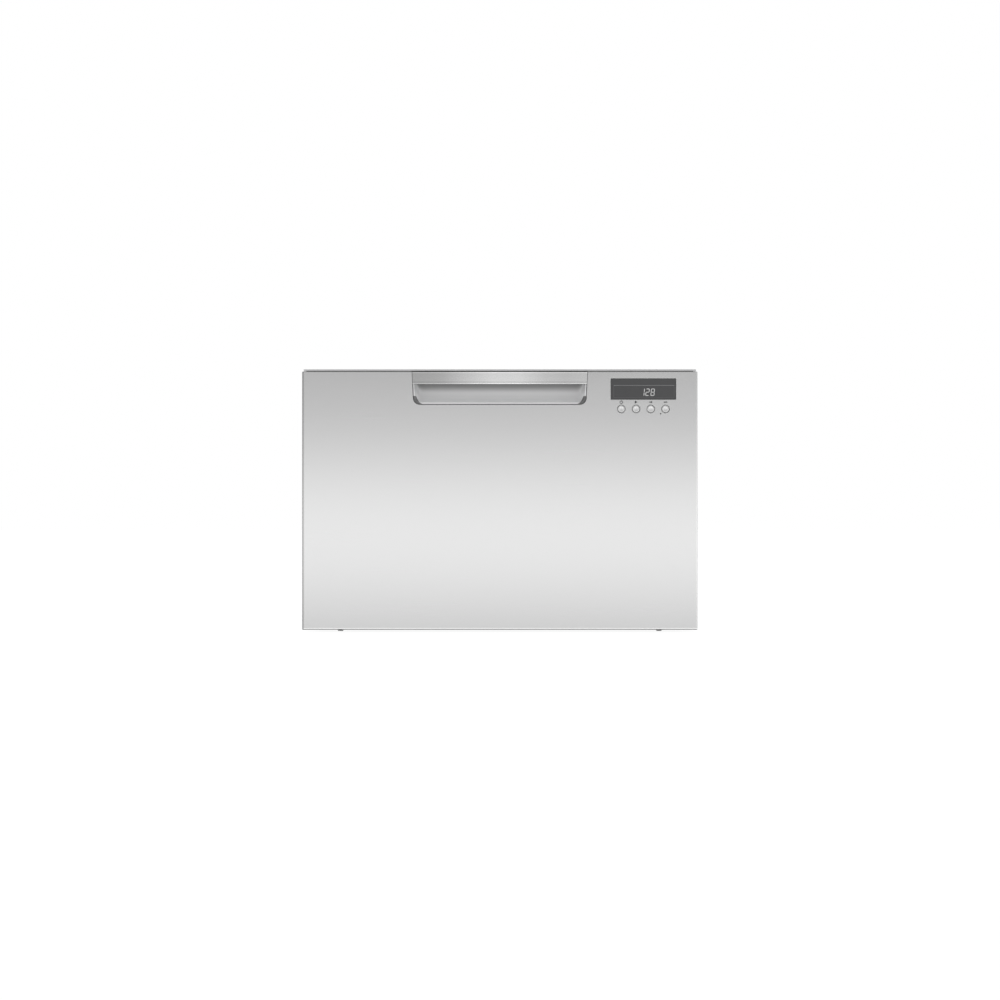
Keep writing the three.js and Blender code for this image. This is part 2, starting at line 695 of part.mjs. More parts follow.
// The ledge between the drawer front and the tub.
function consoleHood() {
  const [top, foot] = [frontTop - 1, rimZ + GAP];
  const outer = block([-tubHalf, tubHalf], [frameBack + GAP, hoodBack], [foot, top]);
  const inner = block(
    [-tubHalf + HOOD_WALL, tubHalf - HOOD_WALL],
    [frameBack - 1, hoodBack - HOOD_WALL],
    [foot - 1, top - HOOD_WALL],
  );
  // The back of the scoop reaches into the hood.
  const pocketBack = skinFront + SCOOP_DEPTH + POCKET_WALL;
  const [ends, floor] = scoopInset(FRONT_THICKNESS / SCOOP_DEPTH, POCKET_WALL + GAP);
  const notch = extrude("y", new THREE.Shape(handleOutline(ends, floor)), frameBack - 1, pocketBack + GAP);
  return cutBy(outer, [inner, notch]);
}

// ---------------------------------------------------------------- tub
// The tub's outline at a height between its floor and its rim, drawn in by an inset.
function tubOutline(z, inset, corner = TUB_CORNER) {
  const lean = (TUB_DRAFT * (rimZ - z)) / (rimZ - TUB_FLOOR_Z);
  const [halfX, halfY] = [tubHalf - lean - inset, tubDepthHalf - lean - inset];
  return roundCorners([-halfX, halfX], [tubY - halfY, tubY + halfY], Math.max(corner - inset, 3), 3);
}

function tubShell(inset, floor, top) {
  const curve = [0, 0.35, 0.7, 1].map((share) => {
    const angle = (share * Math.PI) / 2;
    return {
      at: floor + FLOOR_RADIUS * (1 - Math.sin(angle)),
      outline: tubOutline(floor + FLOOR_RADIUS, inset + FLOOR_RADIUS * (1 - Math.cos(angle))),
    };
  });
  const bowl = curve.map(({ at, outline }) => ({ at, outline })).sort((a, b) => a.at - b.at);
  return loft("z", [...bowl, { at: top, outline: tubOutline(top, inset) }]);
}

function tub() {
  const flange = extrude(
    "z",
    roundedShape([-flangeHalf, flangeHalf], [tubFront - TUB_FLANGE, lidBack], 8, 2),
    rimZ - FLANGE_THICKNESS,
    rimZ,
  );
  const sump = turned(
    [
      [0, sumpBottom],
      [SUMP_RADIUS - 10, sumpBottom],
      [SUMP_RADIUS + TUB_WALL, sumpBottom + 9],
      [SUMP_RADIUS + TUB_WALL, TUB_FLOOR_Z],
      [0, TUB_FLOOR_Z],
    ],
    0,
    tubY,
    20,
  );
  const sumpBowl = turned(
    [
      [0, sumpFloor],
      [SUMP_RADIUS - 12, sumpFloor],
      [SUMP_RADIUS, sumpFloor + 9],
      [SUMP_RADIUS, TUB_FLOOR_Z + 1],
      [0, TUB_FLOOR_Z + 1],
    ],
    0,
    tubY,
    20,
  );
  const fromShaft = SHAFT_DIAMETER / 2 + SHAFT_CLEARANCE;
  const shaftHole = turned(
    [[0, sumpBottom - 1], [fromShaft, sumpBottom - 1], [fromShaft, sumpFloor + 1], [0, sumpFloor + 1]],
    0,
    tubY,
    12,
  );
  const ventHole = turnedAlongY(
    [[0, frameBack], [VENT_BORE / 2, frameBack], [VENT_BORE / 2, dispenserBack], [0, dispenserBack]],
    ventX,
    ventZ,
    12,
  );
  const outer = joined([tubShell(0, tubBottom, rimZ), flange, sump, ...tubRibs()]);
  const hollow = tubShell(TUB_WALL, TUB_FLOOR_Z, rimZ + 1);
  const shell = cutBy(outer, [hollow, sumpBowl, shaftHole]);
  return joined([shell, ...rackPads(), ...wallSeats(), ...rackClips()]).subtract(ventHole);
}

// Flat seats on the leaning front wall, for the dispenser and the vent.
function wallSeats() {
  const back = dispenserBack - GAP;
  const start = wallInnerFront - 1;
  return [
    extrude(
      "y",
      roundedShape([dispenserLeft + 2, -dispenserLeft - 2], [dispenserBottom + 2, dispenserTop - 2], 8, 2),
      start,
      back,
    ),
    turnedAlongY(
      [[0, start], [VENT_DIAMETER / 2 - 1, start], [VENT_DIAMETER / 2 - 1, back], [0, back]],
      ventX,
      ventZ,
      16,
    ),
  ];
}

// Ribs reach out to the rails at the sides, to the frame at the front and to the flange's edge at the back.
function tubRibs() {
  const [low, high] = [TUB_FLOOR_Z + FLOOR_RADIUS, rimZ - 1];
  const root = TUB_DRAFT + TUB_WALL / 2; // how far in a rib starts, to be rooted in the wall
  const half = TUB_RIB / 2;
  const ribY = spaced(3, tubY - tubDepthHalf + RIB_INSET, tubY + tubDepthHalf - RIB_INSET);
  const ribX = spaced(4, -tubHalf + RIB_INSET, tubHalf - RIB_INSET);
  const sides = [-1, 1].flatMap((side) => {
    const x = span(side * (tubHalf - root), side * flangeHalf);
    return ribY.map((y) => block(x, [y - half, y + half], [low, high]));
  });
  const backs = ribX.map((x) => block([x - half, x + half], [tubBack - root, lidBack], [low, high]));
  // The front ribs carry the drawer front. They stop below the console.
  const fronts = ribX.map((x) =>
    block([x - half, x + half], [frameBack + GAP, tubFront + root], [low, controlsBottom - RIB_INSET / 4]),
  );
  const hollow = tubShell(TUB_WALL / 2, TUB_FLOOR_Z, rimZ);
  const fanRoom = block(
    [fanX - scrollRadius - FAN_GAP, fanX + scrollRadius + FAN_GAP],
    [frameBack, tubFront],
    [fanZ - scrollRadius - FAN_GAP, rimZ],
  );
  return [...sides, ...backs, ...fronts].map((rib) => cutBy(rib, [hollow, fanRoom]));
}

// The rack stands on four pads moulded in the corners of the tub.
function rackPads() {
  const top = RACK_FLOOR_Z - RACK_FLOOR_DEPTH - GAP;
  const [halfX, halfY] = [tubHalf - TUB_DRAFT, tubDepthHalf - TUB_DRAFT];
  const within = tubShell(TUB_WALL / 2, tubBottom + 1, rimZ);
  return [-1, 1].flatMap((sideX) =>
    [-1, 1].map((sideY) => {
      const x = span(sideX * (halfX - PAD_REACH), sideX * halfX);
      const y = span(tubY + sideY * (halfY - PAD_REACH), tubY + sideY * halfY);
      return extrude("z", rectangle(x, y), TUB_FLOOR_Z - 1, top).intersect(within);
    }),
  );
}

// ---------------------------------------------------------------- wash system
function washMotor() {
  const radius = MOTOR_DIAMETER / 2;
  const [top, bottom] = [sumpBottom - GAP, sumpBottom - GAP - MOTOR_HEIGHT];
  const bore = SHAFT_DIAMETER / 2 + GAP;
  return turned(
    [
      [0, bottom],
      [radius - 12, bottom],
      [radius, bottom + 7],
      [radius, top - 5],
      [radius + 5, top - 5],
      [radius + 5, top],
      [bore, top],
      [bore, shaftEnd - GAP],
      [0, shaftEnd - GAP],
    ],
    0,
    tubY,
    20,
  );
}

function washImpeller() {
  const [hubTop, base] = [sumpFloor + 13, sumpFloor + 2];
  const tip = IMPELLER_DIAMETER / 2;
  const spindle = turned(
    [
      [0, shaftEnd],
      [SHAFT_DIAMETER / 2, shaftEnd],
      [SHAFT_DIAMETER / 2, base],
      [tip, base],
      [tip, base + 2],
      [9, base + 3],
      [7, hubTop],
      [0, hubTop],
    ],
    0,
    tubY,
    12,
  );
  const vane = new THREE.Shape();
  vane.moveTo(7, -1);
  vane.quadraticCurveTo(20, -1, tip - 1, -13);
  vane.lineTo(tip - 0.5, -10.5);
  vane.quadraticCurveTo(20, 1.5, 7, 1.5);
  const vanes = Array.from({ length: IMPELLER_VANES }, (_, i) =>
    extrude("z", vane, base + 1, hubTop - 2, 2)
      .rotate([0, 0, (i * 360) / IMPELLER_VANES])
      .translate([0, tubY, 0]),
  );
  return joined([spindle, ...vanes]);
}

// The pump cover sits on the sump floor and carries the spigot that feeds the spray arm.
function pumpCover() {
  const spigot = SPIGOT_DIAMETER / 2;
  const [foot, shoulder] = [sumpFloor + GAP, sumpFloor + 17];
  const wall = 2.2;
  return turned(
    [
      [COVER_RADIUS, foot],
      [COVER_RADIUS, shoulder - 4],
      [spigot + 8, shoulder + 2],
      [spigot, shoulder + 5],
      [spigot, armZ + ARM_SOCKET - 2],
      [spigot - wall, armZ + ARM_SOCKET - 2],
      [spigot - wall, shoulder + 5],
      [spigot + 7, shoulder + 2 - wall],
      [COVER_RADIUS - wall, shoulder - 4 - wall],
      [COVER_RADIUS - wall, foot],
      [COVER_RADIUS, foot],
    ],
    0,
    tubY,
    14,
  );
}

function heaterPlate() {
  const [inner, outer] = [COVER_RADIUS + 4, SUMP_RADIUS - 14];
  const foot = sumpFloor + GAP;
  return turned(
    [
      [inner, foot],
      [outer, foot],
      [outer, foot + 2],
      [outer - 8, foot + 4],
      [inner, foot + 4],
      [inner, foot],
    ],
    0,
    tubY,
    20,
  );
}

function filterPlate() {
  const hub = SPIGOT_DIAMETER / 2 + 9;
  const plate = turned(
    [
      [hub, filterZ - 1.5],
      [FILTER_RADIUS, filterZ],
      [FILTER_RADIUS, filterZ + 1.2],
      [FILTER_RADIUS - 6, filterZ + FILTER_THICKNESS],
      [hub, filterZ + 1],
      [hub, filterZ - 1.5],
    ],
    0,
    tubY,
    24,
  );
  const across = BASKET_FILTER_DIAMETER / 2 + GAP;
  const basketHole = turned(
    [[0, sumpFloor], [across, sumpFloor], [across, TUB_FLOOR_Z + 20], [0, TUB_FLOOR_Z + 20]],
    BASKET_FILTER_X,
    tubY,
    16,
  );
  // Slots fan out from the hub, but for those that would run into the basket filter.
  const apart = 360 / FILTER_SLOTS;
  const shadow = Math.atan2(across + 5, BASKET_FILTER_X - across) * (180 / Math.PI);
  const slots = Array.from({ length: FILTER_SLOTS }, (_, i) => (i + 0.5) * apart)
    .filter((angle) => Math.min(angle, 360 - angle) > shadow)
    .map((angle) =>
      block([hub + 14, FILTER_RADIUS - 14], [-FILTER_SLOT / 2, FILTER_SLOT / 2], [filterZ - 5, filterZ + 5])
        .rotate([0, 0, angle])
        .translate([0, tubY, 0]),
    );
  return cutBy(plate, [basketHole, ...slots]);
}

function drainFilter() {
  const radius = BASKET_FILTER_DIAMETER / 2;
  const top = filterZ + FILTER_THICKNESS;
  const bottom = sumpFloor + 7;
  const cup = turned(
    [
      [0, bottom],
      [radius - 4, bottom],
      [radius - 1, top + GAP],
      [radius + 4, top + GAP],
      [radius + 4, top + 1.6],
      [radius - 3, top + 1.6],
      [radius - 6, bottom + 2],
      [0, bottom + 2],
    ],
    BASKET_FILTER_X,
    tubY,
    14,
  );
  const grip = block(
    [BASKET_FILTER_X - 1.5, BASKET_FILTER_X + 1.5],
    [tubY - radius + 1, tubY + radius - 1],
    [top - 5, top + 1.6],
  );
  return cup.add(grip);
}

// A two-ended arm, broad at the hub and swept towards its tips, with a row of jets on each side.
function sprayArm() {
  const reach = ARM_RADIUS - 16;
  const station = (share) => ({ x: reach * share, half: (30 - 11 * share) / 2, sweep: 14 * share * share });
  const stations = spaced(5, 0, 1).map(station);
  const wing = new THREE.Shape([
    ...stations.map(({ x, half, sweep }) => new THREE.Vector2(x, sweep - half)),
    new THREE.Vector2(ARM_RADIUS, 14),
    ...stations.toReversed().map(({ x, half, sweep }) => new THREE.Vector2(x, sweep + half)),
  ]);
  const [low, high] = [armZ + 3, armZ + ARM_HEIGHT];
  const wings = extrude("z", wing, low, high - 2);
  const jets = [0.42, 0.88].map((share) => {
    const { x, sweep } = station(share);
    return turned([[0, high - 3], [4, high - 3], [2.6, high], [0, high]], x, sweep, 6);
  });
  const half = joined([wings, ...jets]);
  const bore = SPIGOT_DIAMETER / 2 + SLIDE_GAP;
  const roof = armZ + ARM_SOCKET;
  const hub = turned(
    [
      [bore, armZ],
      [ARM_HUB / 2, armZ],
      [ARM_HUB / 2, high],
      [ARM_HUB / 2 - 8, high + 3],
      [0, high + 3],
      [0, roof],
      [bore, roof],
      [bore, armZ],
    ],
    0,
    0,
    16,
  );
  const socket = turned([[0, armZ - 1], [bore, armZ - 1], [bore, roof], [0, roof]], 0, 0, 16);
  return joined([half, half.rotate([0, 0, 180])]).subtract(socket).add(hub).translate([0, tubY, 0]);
}

function drainPump() {
  const radius = PUMP_DIAMETER / 2;
  const top = sumpBottom - GAP;
  const y = tubY + 20;
  const foot = top - PUMP_HEIGHT;
  const can = turned(
    [[0, foot], [radius - 3, foot], [radius, foot + 3], [radius, top - 6], [radius - 4, top], [0, top]],
    PUMP_X,
    y,
    16,
  );
  const z = top - PUMP_OUTLET;
  const end = y + radius + PUMP_OUTLET_REACH;
  const outlet = rod([PUMP_X, y, z], [PUMP_X, end, z], PUMP_OUTLET / 2, 8);
  const within = PUMP_OUTLET / 2 - PUMP_OUTLET_WALL;
  const bore = rod([PUMP_X, y + radius - PUMP_OUTLET / 2, z], [PUMP_X, end + 1, z], within, 8);
  return can.add(outlet).subtract(bore);
}

// ---------------------------------------------------------------- dispenser and fan
function dispenser() {
  const across = [dispenserLeft, -dispenserLeft];
  const upright = [dispenserBottom, dispenserTop];
  const shrunk = ([low, high], inset) => [low + inset, high - inset];
  const body = loft("y", [
    { at: dispenserBack, outline: roundCorners(across, upright, 10, 3) },
    { at: dispenserFace - 4, outline: roundCorners(across, upright, 10, 3) },
    { at: dispenserFace, outline: roundCorners(shrunk(across, 3), shrunk(upright, 3), 8, 3) },
  ]);
  const cup = extrude(
    "y",
    roundedShape([cupLeft + 4, cupLeft + CUP_WIDTH - 4], [cupBottom + 4, cupBottom + CUP_HEIGHT - 4], 8, 2),
    dispenserBack + 3,
    dispenserFace + 1,
  );
  const wellRadius = CAP_DIAMETER / 2 - 4;
  const well = turnedAlongY(
    [
      [0, dispenserFace - 8],
      [wellRadius, dispenserFace - 8],
      [wellRadius, dispenserFace + 1],
      [0, dispenserFace + 1],
    ],
    capX,
    capZ,
    16,
  );
  const earX = [cupLeft - GAP - 4, cupLeft + CUP_WIDTH + GAP];
  const ears = earX.map((x) =>
    block([x, x + 4], [dispenserFace - 1, hingeY + KNUCKLE_RADIUS], [hingeZ - 3, hingeZ + 3]),
  );
  // The hinge pin is held in both ears.
  const pin = rod([earX[0] + 1, hingeY, hingeZ], [earX[1] + 3, hingeY, hingeZ], HINGE_PIN / 2, 8);
  return joined([cutBy(body, [cup, well]), ...ears, pin]);
}

function dispenserDoor() {
  const across = [cupLeft, cupLeft + CUP_WIDTH];
  const top = cupBottom + CUP_HEIGHT;
  const middle = cupLeft + CUP_WIDTH / 2;
  const face = doorY + DOOR_THICKNESS;
  const flap = extrude("y", roundedShape(across, [hingeZ, top], 5, 2), doorY, face);
  const latch = block([middle - 9, middle + 9], [face - 0.5, face + 3], [top - 10, top - 5]);
  const knuckle = rod([across[0], hingeY, hingeZ], [across[1], hingeY, hingeZ], KNUCKLE_RADIUS, 12);
  const below = block([across[0] - 1, across[1] + 1], [doorY - 1, face + 1], [hingeZ - 10, hingeZ]);
  const bore = rod(
    [across[0] - 1, hingeY, hingeZ],
    [across[1] + 1, hingeY, hingeZ],
    HINGE_PIN / 2 + GAP,
    8,
  );
  return joined([flap.subtract(below), latch, knuckle]).subtract(bore);
}

function rinseCap() {
  const radius = CAP_DIAMETER / 2;
  const neck = radius - 4 - GAP;
  const cap = turnedAlongY(
    [
      [0, dispenserFace - 7],
      [neck, dispenserFace - 7],
      [neck, dispenserFace + GAP],
      [radius, dispenserFace + GAP],
      [radius, dispenserFace + 4],
      [radius - 2, dispenserFace + 6],
      [0, dispenserFace + 6],
    ],
    capX,
    capZ,
    16,
  );
  const grip = block(
    [capX - 2.5, capX + 2.5],
    [dispenserFace + 5, dispenserFace + 11],
    [capZ - radius + 5, capZ + radius - 5],
  );
  return cap.add(grip);
}

function ventCap() {
  const radius = VENT_DIAMETER / 2;
  const back = dispenserBack;
  const body = turnedAlongY(
    [[0, back], [radius, back], [radius, back + 4], [radius - 3, back + 6], [0, back + 6]],
    ventX,
    ventZ,
    16,
  );
  const louvres = [-8, 0, 8].map((z) =>
    block([ventX - radius * 0.6, ventX + radius * 0.6], [back - 1, back + 7], [ventZ + z, ventZ + z + 2.4]),
  );
  return cutBy(body, louvres);
}

function fanHousing() {
  const radius = scrollRadius;
  const ring = (r, from, to, sides = 14) =>
    turnedAlongY([[0, from], [r, from], [r, to], [0, to]], fanX, fanZ, sides);
  const top = ventZ + VENT_DIAMETER / 2;
  const right = fanX + radius;
  // The scroll with its duct, drawn in by an inset.
  const scroll = (inset) => {
    const [front, back] = [fanFront + inset, fanBack - inset];
    const duct = block([right - DUCT_WIDTH + inset, right - inset], [front, back], [fanZ, top - inset]);
    return ring(radius - inset, front, back).add(duct);
  };
  const eye = ring(FAN_EYE / 2, fanBack - FAN_WALL - 1, fanBack + 1);
  const mouth = turnedAlongY(
    [[0, fanBack - 5], [VENT_BORE / 2, fanBack - 5], [VENT_BORE / 2, fanBack + 1], [0, fanBack + 1]],
    ventX,
    ventZ,
    8,
  );
  const axle = ring(FAN_AXLE / 2, fanFront + 1, fanFront + 14, 8);
  return cutBy(scroll(0), [scroll(FAN_WALL), eye, mouth]).add(axle);
}

function fanWheel() {
  const radius = FAN_DIAMETER / 2;
  const [front, back] = [fanFront + FAN_WALL + 1.5, fanBack - FAN_WALL - 1.5];
  const bore = FAN_AXLE / 2 + SLIDE_GAP;
  const hub = turnedAlongY(
    [
      [bore, front],
      [radius, front],
      [radius, front + 2],
      [9, front + 2],
      [9, front + 12],
      [bore, front + 12],
      [bore, front],
    ],
    fanX,
    fanZ,
    14,
  );
  const blades = Array.from({ length: FAN_BLADES }, (_, i) =>
    block([radius - 9, radius - 0.5], [front + 1, back], [-0.9, 0.9])
      .rotate([0, ((i + 0.5) * 360) / FAN_BLADES, 0])
      .translate([fanX, 0, fanZ]),
  );
  return joined([hub, ...blades]);
}

// ---------------------------------------------------------------- racks
const rackHalf = tubHalf - TUB_DRAFT - TUB_WALL - RACK_CLEARANCE;
const rackDepthHalf = tubDepthHalf - TUB_DRAFT - TUB_WALL - RACK_CLEARANCE;
const rackTop = RACK_FLOOR_Z + RACK_HEIGHT;
const tineAxis = RACK_FLOOR_Z + GAP + TINE_BAR / 2;

const rackOutline = (inset) =>
  roundCorners(
    [-rackHalf + inset, rackHalf - inset],
    [tubY - rackDepthHalf + inset, tubY + rackDepthHalf - inset],
    Math.max(RACK_CORNER - inset, 4),
    2,
  );

// The lattice floor of the rack. Its corners are closed, to stand on the pads of the tub.
function baseRack() {
  const bottom = RACK_FLOOR_Z - RACK_FLOOR_DEPTH;
  const cellX = lanes(RACK_LANES, rackHalf - RACK_FLARE - RACK_WALL, 0);
  const cellY = lanes(RACK_LANES, rackDepthHalf - RACK_FLARE - RACK_WALL, tubY);
  const atEnd = (i) => i === 0 || i === RACK_LANES - 1;
  const cells = cellX.flatMap((x, i) =>
    cellY
      .filter((_, j) => !(atEnd(i) && atEnd(j)))
      .map((y) => block(x, y, [bottom - 1, RACK_FLOOR_Z + 1])),
  );
  return cutBy(extrude("z", new THREE.Shape(rackOutline(RACK_FLARE)), bottom, RACK_FLOOR_Z), cells);
}

// The rim that stands round the lattice and leans out, with a row of windows in each wall.
function rackRim() {
  const bottom = RACK_FLOOR_Z + GAP;
  const outside = loft("z", [
    { at: bottom, outline: rackOutline(RACK_FLARE) },
    { at: rackTop, outline: rackOutline(0) },
  ]);
  const inside = loft("z", [
    { at: bottom - 1, outline: rackOutline(RACK_FLARE + RACK_WALL) },
    { at: rackTop + 1, outline: rackOutline(RACK_WALL) },
  ]);
  const windowZ = [RACK_FLOOR_Z + RACK_RIB * 2, rackTop - RACK_RIB * 2];
  const windows = [
    ...lanes(RACK_WINDOWS, rackHalf - RACK_CORNER, 0).map((x) =>
      block(x, [tubY - rackDepthHalf - 1, tubY + rackDepthHalf + 1], windowZ),
    ),
    ...lanes(RACK_WINDOWS, rackDepthHalf - RACK_CORNER, tubY).map((y) =>
      block([-rackHalf - 1, rackHalf + 1], y, windowZ),
    ),
  ];
  return cutBy(outside, [inside, ...windows]);
}

// Equal spaces between ribs, over a width of twice the half.
function lanes(count, half, middle) {
  const width = (2 * half - RACK_RIB * (count - 1)) / count;
  return Array.from({ length: count }, (_, i) => {
    const start = middle - half + i * (width + RACK_RIB);
    return [start, start + width];
  });
}

// Rows that fold towards each other are half a pitch apart along the rack, so their tines pass between.
function tineRow(x, shift) {
  const reach = (TINE_PITCH * (TINE_COUNT - 1)) / 2;
  const bar = rod(
    [x, tubY - reach + shift - TINE_BAR, tineAxis],
    [x, tubY + reach + shift + TINE_BAR, tineAxis],
    TINE_BAR / 2,
  );
  const tine = (y) =>
    loft("z", [
      { at: tineAxis, outline: square(x, y, TINE_WIDTH / 2) },
      { at: tineAxis + TINE_HEIGHT, outline: square(x, y, TINE_WIDTH / 4) },
    ]);
  return joined([bar, ...spaced(TINE_COUNT, tubY - reach + shift, tubY + reach + shift).map(tine)]);
}

const cupRackHingeX = tubHalf - TUB_WALL - 12;
const clipBore = CUP_HINGE / 2 + SLIDE_GAP;
function cupRack(side) {
  const hinge = side * cupRackHingeX;
  const half = CUP_RACK_LENGTH / 2;
  const near = side * (cupRackHingeX - CUP_ARM);
  const far = side * (cupRackHingeX - CUP_RACK_WIDTH);
  const slots = [];
  const gap = (2 * half - CUP_RACK_RIB * (CUP_RACK_SLOTS + 1)) / CUP_RACK_SLOTS;
  const middle = (near + far) / 2;
  const reach = Math.abs(far - near) / 2 - CUP_RACK_RIB;
  const z = CUP_RACK_Z;
  const through = [z - CUP_RACK_THICKNESS, z + CUP_RACK_THICKNESS];
  for (let i = 0; i < CUP_RACK_SLOTS; i++) {
    const start = tubY - half + CUP_RACK_RIB + i * (gap + CUP_RACK_RIB);
    for (const end of [-1, 1]) {
      const across = span(middle + (end * CUP_RACK_RIB) / 2, middle + end * reach);
      slots.push(block(across, [start, start + gap], through));
    }
  }
  const outline = roundedShape(span(near, far), [tubY - half, tubY + half], 6, 2);
  const thick = [z - CUP_RACK_THICKNESS / 2, z + CUP_RACK_THICKNESS / 2];
  const plate = cutBy(extrude("z", outline, ...thick), slots);
  const lip = block(
    span(far, far + side * CUP_RACK_RIB * 0.7),
    [tubY - half + 8, tubY + half - 8],
    [z, z + CUP_RACK_THICKNESS * 2],
  );
  const bar = rod([hinge, tubY - half + 10, z], [hinge, tubY + half - 10, z], CUP_HINGE / 2);
  const arms = spaced(3, tubY - half + 24, tubY + half - 24).map((y) =>
    block(span(hinge, near - side * 2), [y - 7, y + 7], thick),
  );
  return joined([plate, lip, bar, ...arms]);
}

// Clips moulded on the side walls of the tub hold the hinge bars of the cup racks.
function rackClips() {
  const lean = (TUB_DRAFT * (rimZ - CUP_RACK_Z)) / (rimZ - TUB_FLOOR_Z);
  const wall = tubHalf - lean - TUB_WALL / 2;
  const half = CLIP_HEIGHT / 2;
  return [-1, 1].flatMap((side) =>
    [-1, 1].map((end) => {
      const y = tubY + end * (CUP_RACK_LENGTH / 2 - CLIP_INSET);
      const x = side * cupRackHingeX;
      const body = block(
        span(side * wall, side * (cupRackHingeX - clipBore - CLIP_WALL)),
        [y - CLIP_WIDTH / 2, y + CLIP_WIDTH / 2],
        [CUP_RACK_Z - half, CUP_RACK_Z + half],
      );
      // The clip is open above, so the bar snaps in.
      const bore = rod([x, y - CLIP_WIDTH, CUP_RACK_Z], [x, y + CLIP_WIDTH, CUP_RACK_Z], clipBore, 8);
      const mouth = block(
        [x - clipBore * 0.8, x + clipBore * 0.8],
        [y - CLIP_WIDTH, y + CLIP_WIDTH],
        [CUP_RACK_Z, CUP_RACK_Z + CLIP_HEIGHT],
      );
      return cutBy(body, [bore, mouth]);
    }),
  );
}

function cutleryBasket() {
  const half = CUTLERY_WIDTH / 2;
  const [y0, y1] = [tubY - CUTLERY_LENGTH / 2, tubY + CUTLERY_LENGTH / 2];
  const bottom = RACK_FLOOR_Z + GAP;
  const top = bottom + CUTLERY_HEIGHT;
  const layer = (z, inset) => ({
    at: z,
    outline: roundCorners([-half + inset, half - inset], [y0 + inset, y1 - inset], CUTLERY_CORNER, 2),
  });
  const outer = loft("z", [layer(bottom, CUTLERY_TAPER), layer(top, 0)]);
  const floor = layer(bottom + CUTLERY_WALL, CUTLERY_TAPER + CUTLERY_WALL);
  const shell = outer.subtract(loft("z", [floor, layer(top + 1, CUTLERY_WALL)]));
  const cell = CUTLERY_LENGTH / CUTLERY_CELLS;
  const walls = spaced(CUTLERY_CELLS - 1, y0 + cell, y1 - cell).map((y) =>
    block([-half + 3, half - 3], [y - 0.8, y + 0.8], [bottom + 1, top - 14]),
  );
  // The carrying handle arches from the first cell wall to the last.
  const grown = (reach, low, high) =>
    roundedShape([y0 + cell - reach, y1 - cell + reach], [low, high], 14, 1);
  const archTop = top + CUTLERY_HANDLE;
  const archFoot = bottom + SLOT_TOP;
  const arch = extrude("x", grown(CUTLERY_RAIL / 2, archFoot, archTop), -1.6, 1.6).subtract(
    extrude("x", grown(-CUTLERY_RAIL / 2, archFoot - 10, archTop - CUTLERY_RAIL), -2, 2),
  );
  const slotZ = [bottom + SLOT_FOOT, bottom + SLOT_TOP];
  const sideSlots = spaced(CUTLERY_SLOTS, y0 + SLOT_INSET, y1 - SLOT_INSET).map((y) =>
    block([-half - 1, half + 1], [y - SLOT_WIDTH / 2, y + SLOT_WIDTH / 2], slotZ),
  );
  const endSlots = [-18, 18].map((x) => block([x - 7, x + 7], [y0 - 1, y1 + 1], slotZ));
  return joined([cutBy(shell, [...sideSlots, ...endSlots]), ...walls, arch]);
}

// ---------------------------------------------------------------- lid
function lidOutline(inset) {
  const [x, y] = [[-lidHalf + inset, lidHalf - inset], [lidFront + inset, lidBack - inset]];
  return roundCorners(x, y, Math.max(LID_CORNER - inset, 3), 2);
}

function lid() {
  const outer = loft("z", [
    { at: lidBottom, outline: lidOutline(0) },
    { at: lidBottom + 6, outline: lidOutline(0) },
    { at: lidBottom + 9, outline: lidOutline(2.5) },
    { at: lidTop - 4, outline: lidOutline(9) },
    { at: lidTop, outline: lidOutline(LID_CROWN) },
  ]);
  const hollow = loft("z", [
    { at: lidBottom - 1, outline: lidOutline(SEAL_WIDTH + 8) },
    { at: lidBottom + 4, outline: lidOutline(SEAL_WIDTH + 9) },
    { at: lidTop - 4 - LID_SHELL, outline: lidOutline(SEAL_WIDTH + 11) },
    { at: lidTop - LID_SHELL, outline: lidOutline(LID_CROWN + 4) },
  ]);
  const bars = LID_BARS_X.map((x) =>
    block([x - 1.5, x + 1.5], [lidFront + 10, lidBack - 10], [lidBottom + 3, lidTop - LID_SHELL]),
  );
  const racks = [-1, 1].map(lidRack);
  return joined([outer.subtract(hollow.subtract(joined(bars))), ...racks]);
}

// Trapezoid teeth along a straight rack. They point towards -Y and run up Z.
const pinionY = tubY + ACTUATOR_Y;
const pinionZ = lidTop - 1;
const pressureAngle = (20 * Math.PI) / 180;
const addendum = 0.85 * GEAR_MODULE;
const dedendum = 1.2 * GEAR_MODULE;
const gearsInner = flangeHalf + 1.2;
function lidRack(side) {
  const pitch = Math.PI * GEAR_MODULE;
  const slope = Math.tan(pressureAngle);
  const line = pinionY + pinionRadius;
  // Long enough to stay on the pinion over the whole lift, and clear of the top sheet at the end of it.
  const [low, high] = [pinionZ - LID_LIFT - pinionRadius - 2.5, ceiling - LID_LIFT - 1.4];
  const shape = new THREE.Shape();
  shape.moveTo(line + 5.5, low);
  shape.lineTo(line + dedendum, low);
  const thin = pitch / 4 - BACKLASH / 4;
  const first = Math.ceil((low + thin + slope * dedendum - pinionZ) / pitch);
  const last = Math.floor((high - thin - slope * dedendum - pinionZ) / pitch);
  for (let tooth = first; tooth <= last; tooth++) {
    const z = pinionZ + tooth * pitch;
    shape.lineTo(line + dedendum, z - thin - slope * dedendum);
    shape.lineTo(line - addendum, z - thin + slope * addendum);
    shape.lineTo(line - addendum, z + thin - slope * addendum);
    shape.lineTo(line + dedendum, z + thin + slope * dedendum);
  }
  shape.lineTo(line + dedendum, high);
  shape.lineTo(line + 5.5, high);
  const outer = gearsInner + GEAR_WIDTH;
  const bar = extrude("x", shape, ...span(side * gearsInner, side * outer));
  const lug = block(
    span(side * (lidHalf - 2), side * outer),
    [line + 2.5, line + 12],
    [lidBottom + 0.5, lidBottom + 5.5],
  );
  return bar.add(lug);
}

